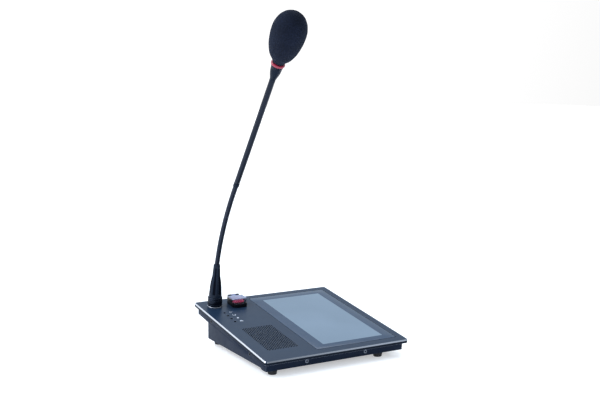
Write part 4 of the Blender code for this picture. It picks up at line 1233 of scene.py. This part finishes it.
def neck_section(low_share, high_share):
    """A stretch of spring tube, wound as one helix along the whole neck."""
    steps = 40
    rows = max(8, round((high_share - low_share) * NECK_LENGTH / COIL_PITCH * 9))
    bm = bmesh.new()
    rings = []
    for row in range(rows + 1):
        share = low_share + (high_share - low_share) * row / rows
        centre, direction = neck_place(share)
        side = Vector((1.0, 0.0, 0.0))
        across = direction.cross(side).normalized()
        ring = []
        for k in range(steps):
            angle = 2 * math.pi * k / steps
            phase = share * NECK_LENGTH / COIL_PITCH - k / steps
            groove = abs(math.sin(math.pi * phase)) ** 0.55
            radius = NECK_RADIUS - COIL_DEPTH * (1.0 - groove)
            offset = side * (radius * math.cos(angle)) + across * (radius * math.sin(angle))
            ring.append(bm.verts.new(centre + offset))
        rings.append(ring)
    bridged(bm, rings)
    bm.faces.new(rings[0])
    bm.faces.new(rings[-1])
    return bm


def neck_place(share):
    """Centre and direction on the neck, straight on down into the boot below 0."""
    if share < 0.0:
        direction = forward(NECK_START_LEAN)
        return neck_point(0.0) + direction * (share * NECK_LENGTH), direction
    return neck_point(min(share, 1.0)), forward(neck_lean(min(share, 1.0)))


def build_neck():
    """Coiled skin in five lengths, each fixed in place over its stretch of the neck."""
    nodes = [("neck_foot",), ("neck_link_1",), ("neck_link_2",), ("neck_link_3",),
             ("neck_link_4", "neck_top")]
    for number in range(1, NECK_JOINTS + 1):
        low = NECK_TUCK if number == 1 else (number - 1) / NECK_JOINTS
        bm = neck_section(low, number / NECK_JOINTS)
        made = piece(f"neck_coil_{number}", bm, "neck_metal", None, nodes[number - 1],
                     None, 60.0, rides=False)
        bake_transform(made)


# ---------------------------------------------------------------- stem and head

CUP_SIDES = (
    (0.0, 0.1610), (0.0034, 0.1610), (0.0036, 0.1613), (0.00375, 0.1622), (0.0041, 0.1634),
    (0.0044, 0.1646), (0.0049, 0.1661), (0.0054, 0.1680), (0.00585, 0.1698), (0.0062, 0.1718),
    (0.0065, 0.1748), (0.00675, 0.1780), (0.0070, 0.1783), (0.0070, 0.1795), (0.0068, 0.1798), (0.0, 0.1798),
)


def build_stem():
    waist = FERRULE_RADIUS - 0.0002
    ferrule = eased([
        (0.0, GAP), (0.0034, GAP), (FERRULE_RADIUS, 0.0007), (FERRULE_RADIUS, 0.0022), (waist, 0.0024),
        (waist, 0.0030), (FERRULE_RADIUS, 0.0032), (FERRULE_RADIUS, 0.0056), (0.0034, 0.0060), (0.0, 0.0060),
    ], 0.00012)
    piece("neck_end_ferrule", turned(ferrule, 56), "head_metal", "head",
          ("neck_ferrule",), STEM)
    low, high = STEM_LOW, STEM_HIGH
    stem = [(STEM_BORE, low), (STEM_RADIUS - 0.0002, low), (STEM_RADIUS, low + 0.0003)]
    stem += [(STEM_RADIUS, low + (high - low) * k / 40) for k in range(1, 40)]
    stem += [(STEM_RADIUS, high - 0.0003), (STEM_RADIUS - 0.0002, high), (STEM_BORE, high)]
    piece("stem_tube", turned(stem, 56, True), "stem_metal", "head", ("upper_stem",), STEM)
    piece("head_cup", turned(CUP_SIDES, 72), "head_metal", "head", ("head_cone",), STEM, 40.0)
    build_light_ring()


def build_light_ring():
    """Red translucent band between the cup and the foam."""
    low, high, radius = LIGHT_RING_LOW, LIGHT_RING_HIGH, LIGHT_RING_RADIUS
    profile = eased([
        (0.0, low), (0.0069, low), (0.0076, low + 0.0002), (radius, low + 0.0009), (radius, high - 0.0009),
        (0.0076, high - 0.0002), (0.0069, high), (0.0, high),
    ], 0.0003)
    piece("status_ring", turned(profile, 96), "ring_red", "head", ("light_ring",), STEM, 60.0)


FOAM_LOW = 0.1855
FOAM_LOW_RADIUS = 0.0078
FOAM_WIDEST = 0.2234
FOAM_TIP = 0.2482
FOAM_RADIUS = 0.0198
FOAM_FULLNESS = 0.46              # 0.5 would be an ellipse
FOAM_LOWER_HALF = 0.0395
FOAM_BORE = 0.0071
FOAM_BORE_TOP = 0.2185
PORE_SCALE = 1150.0
PORE_DEPTH = 0.000924
PORE_REACH = 0.42                 # how far a pore's slope reaches, in cells
LUMP_SCALE = 210.0
LUMP_DEPTH = 0.00014


def egg_radius(height):
    half = FOAM_TIP - FOAM_WIDEST if height > FOAM_WIDEST else FOAM_LOWER_HALF
    return FOAM_RADIUS * max(0.0, 1.0 - ((height - FOAM_WIDEST) / half) ** 2) ** FOAM_FULLNESS


def foam_outline():
    """Evenly spaced outline of the foam from its lip round to its tip."""
    raw = [(FOAM_BORE + 0.0001, FOAM_LOW + 0.0005), (FOAM_BORE + 0.0004, FOAM_LOW),
           (FOAM_LOW_RADIUS, FOAM_LOW),
           (FOAM_LOW_RADIUS + 0.0003, FOAM_LOW + 0.0008)]
    for k in range(181):
        angle = math.radians(k)
        height = FOAM_WIDEST - math.cos(angle) * (FOAM_LOWER_HALF if k <= 90 else FOAM_TIP - FOAM_WIDEST)
        if height > FOAM_LOW + 0.0012:
            raw.append((egg_radius(height), height))
    points = np.array(raw)
    lengths = np.concatenate([[0.0], np.cumsum(np.hypot(*np.diff(points, axis=0).T))])
    wanted = np.linspace(0.0, lengths[-1], 190)
    return list(zip(np.interp(wanted, lengths, points[:, 0]), np.interp(wanted, lengths, points[:, 1])))


def build_windscreen():
    """Foam egg with real pores over its surface and a bore for the capsule's holder."""
    steps = 260
    bm = bmesh.new()
    rings = [ring_of(bm, radius, steps, height) for radius, height in foam_outline()]
    bore = ring_of(bm, FOAM_BORE, steps, FOAM_BORE_TOP)
    bridged(bm, [bore] + rings)
    bm.faces.new(bore)
    bm.normal_update()
    moves = []
    for vert in bm.verts:
        in_bore = vert.co.xy.length < FOAM_BORE + 0.0002 and vert.co.z < FOAM_BORE_TOP + 1e-6
        if in_bore or vert.co.z < FOAM_LOW + 0.0003:
            continue
        near = noise.voronoi(vert.co * PORE_SCALE)[0]
        pore = max(0.0, PORE_REACH - near[0]) * PORE_DEPTH
        lump = noise.noise(vert.co * LUMP_SCALE) * LUMP_DEPTH
        moves.append((vert, vert.normal * (lump - pore - LUMP_DEPTH * 0.3)))
    for vert, shift in moves:
        vert.co += shift
    made = piece("foam_windscreen", moved(bm, STEM), "open_cell_foam", "head", ("windscreen",),
                 None, 180.0)


# ---------------------------------------------------------------- CAD nodes that stay

KEPT_FINISHES = {
    "lcd_panel": "panel",
    "display_bracket": "zinc",
    "grille_cloth": "woven_cloth",
    "speaker_basket": "zinc",
    "speaker_cone": "pressed_paper",
    "speaker_magnet": "magnet_grey",
    "main_board": "board_green",
    "light_board": "board_green",
    "bottom_cover": "powder_coat",
    "mic_socket": "black_plastic",
    "plug_insert": "black_plastic",
    **{f"plug_pin_{number}": "gold" for number in (1, 2, 3)},
    "button_switch": "black_plastic",
    "button_dome": "rubber",
    "hinge_pin": "zinc",
    "capsule_holder": "head_metal",
    "capsule": "bright_plate",
    **{f"foot_screw_{name}": "zinc" for name in FEET},
}


def dress_kept_nodes():
    for node, finish in KEPT_FINISHES.items():
        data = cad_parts[node].data
        data.materials.clear()
        data.materials.append(finish_of(finish))


# ---------------------------------------------------------------- stage

CAMERA_PLACE = (-0.5901, -1.0033, 0.3370)
CAMERA_AZIMUTH = math.radians(-30.10)
CAMERA_ELEVATION = math.radians(7.236)
CAMERA_ROLL = math.radians(0.2445)
CAMERA_LENS = 57.08
FLOOR_HALF = 9.0


def build_camera():
    a, e, r = CAMERA_AZIMUTH, CAMERA_ELEVATION, CAMERA_ROLL
    back = Vector((math.sin(a) * math.cos(e), -math.cos(a) * math.cos(e), math.sin(e)))
    right = Vector((math.cos(a), math.sin(a), 0.0))
    up = back.cross(right)
    rows = (right * math.cos(r) + up * math.sin(r), -right * math.sin(r) + up * math.cos(r), back)
    data = bpy.data.cameras.new("camera")
    data.lens = CAMERA_LENS
    data.sensor_width = 36.0
    data.clip_start, data.clip_end = 0.02, 60.0
    place = Matrix.Translation(CAMERA_PLACE) @ Matrix(rows).transposed().to_4x4()
    bpy.context.scene.camera = linked("camera", data, place)


def area_light(name, place, aim, size, power):
    data = bpy.data.lights.new(name, "AREA")
    data.shape = "RECTANGLE"
    data.size, data.size_y = size
    data.energy = power
    light = linked(name, data)
    light.location = place
    light.rotation_mode = "QUATERNION"
    light.rotation_quaternion = (Vector(aim) - Vector(place)).to_track_quat("-Z", "Y")


def build_floor():
    bm = bmesh.new()
    bm.faces.new([bm.verts.new((x, y, 0.0)) for x, y in corners_of((-FLOOR_HALF, -FLOOR_HALF,
                                                                   FLOOR_HALF, FLOOR_HALF))])
    mesh = bpy.data.meshes.new("studio_floor")
    bm.to_mesh(mesh)
    bm.free()
    shader = Shader("studio_floor", Specular_IOR_Level=0.5, Base_Color=rgb(242, 244, 248), Roughness=0.14,
                    Emission_Color=(1.0, 1.0, 1.0, 1.0), Emission_Strength=0.46)
    mesh.materials.append(shader.material)
    linked("studio_floor", mesh)


def build_world():
    """Soft pale surroundings, brighter behind and to the left, and white round the horizon."""
    world = bpy.data.worlds.new("studio")
    world.use_nodes = True
    tree = Nodes(world.node_tree)
    where = tree.node("ShaderNodeTexCoord", {}).outputs["Generated"]
    toward = tree.node("ShaderNodeVectorMath", {0: where, 1: (-0.62, 0.74, 0.28)}, operation="DOT_PRODUCT")
    height = tree.node("ShaderNodeMath", {0: tree.axis(where, "Z")}, operation="ABSOLUTE").outputs[0]
    horizon = tree.span(height, 0.10, 0.17, 1.0, 0.0)
    background = tree.nodes["Background"]
    tree.plug(tree.mix(horizon, (0.80, 0.90, 1.0, 1.0), (1.0, 1.0, 1.0, 1.0)), background.inputs["Color"])
    tree.plug(tree.span(toward.outputs["Value"], -0.7, 0.6, 0.5, 1.3), background.inputs["Strength"])
    bpy.context.scene.world = world


def build_stage():
    build_floor()
    build_world()
    build_camera()
    area_light("key", (-1.5, 0.5, 1.5), (0.0, 0.0, 0.1), (1.4, 1.4), 22.0)
    area_light("fill", (0.9, 0.9, 1.7), (0.0, 0.0, 0.1), (1.6, 1.2), 12.0)
    bpy.context.scene.view_settings.view_transform = "Standard"


# ---------------------------------------------------------------- everything

for build in (
    build_faceplate, build_glass, build_lights, build_icons, build_bezel, build_cap, build_lid,
    build_wall_screws, build_housing, build_feet, build_network_socket, build_power_socket, build_plug,
    build_boot, build_neck, build_stem, build_windscreen, dress_kept_nodes, build_stage,
):
    build()
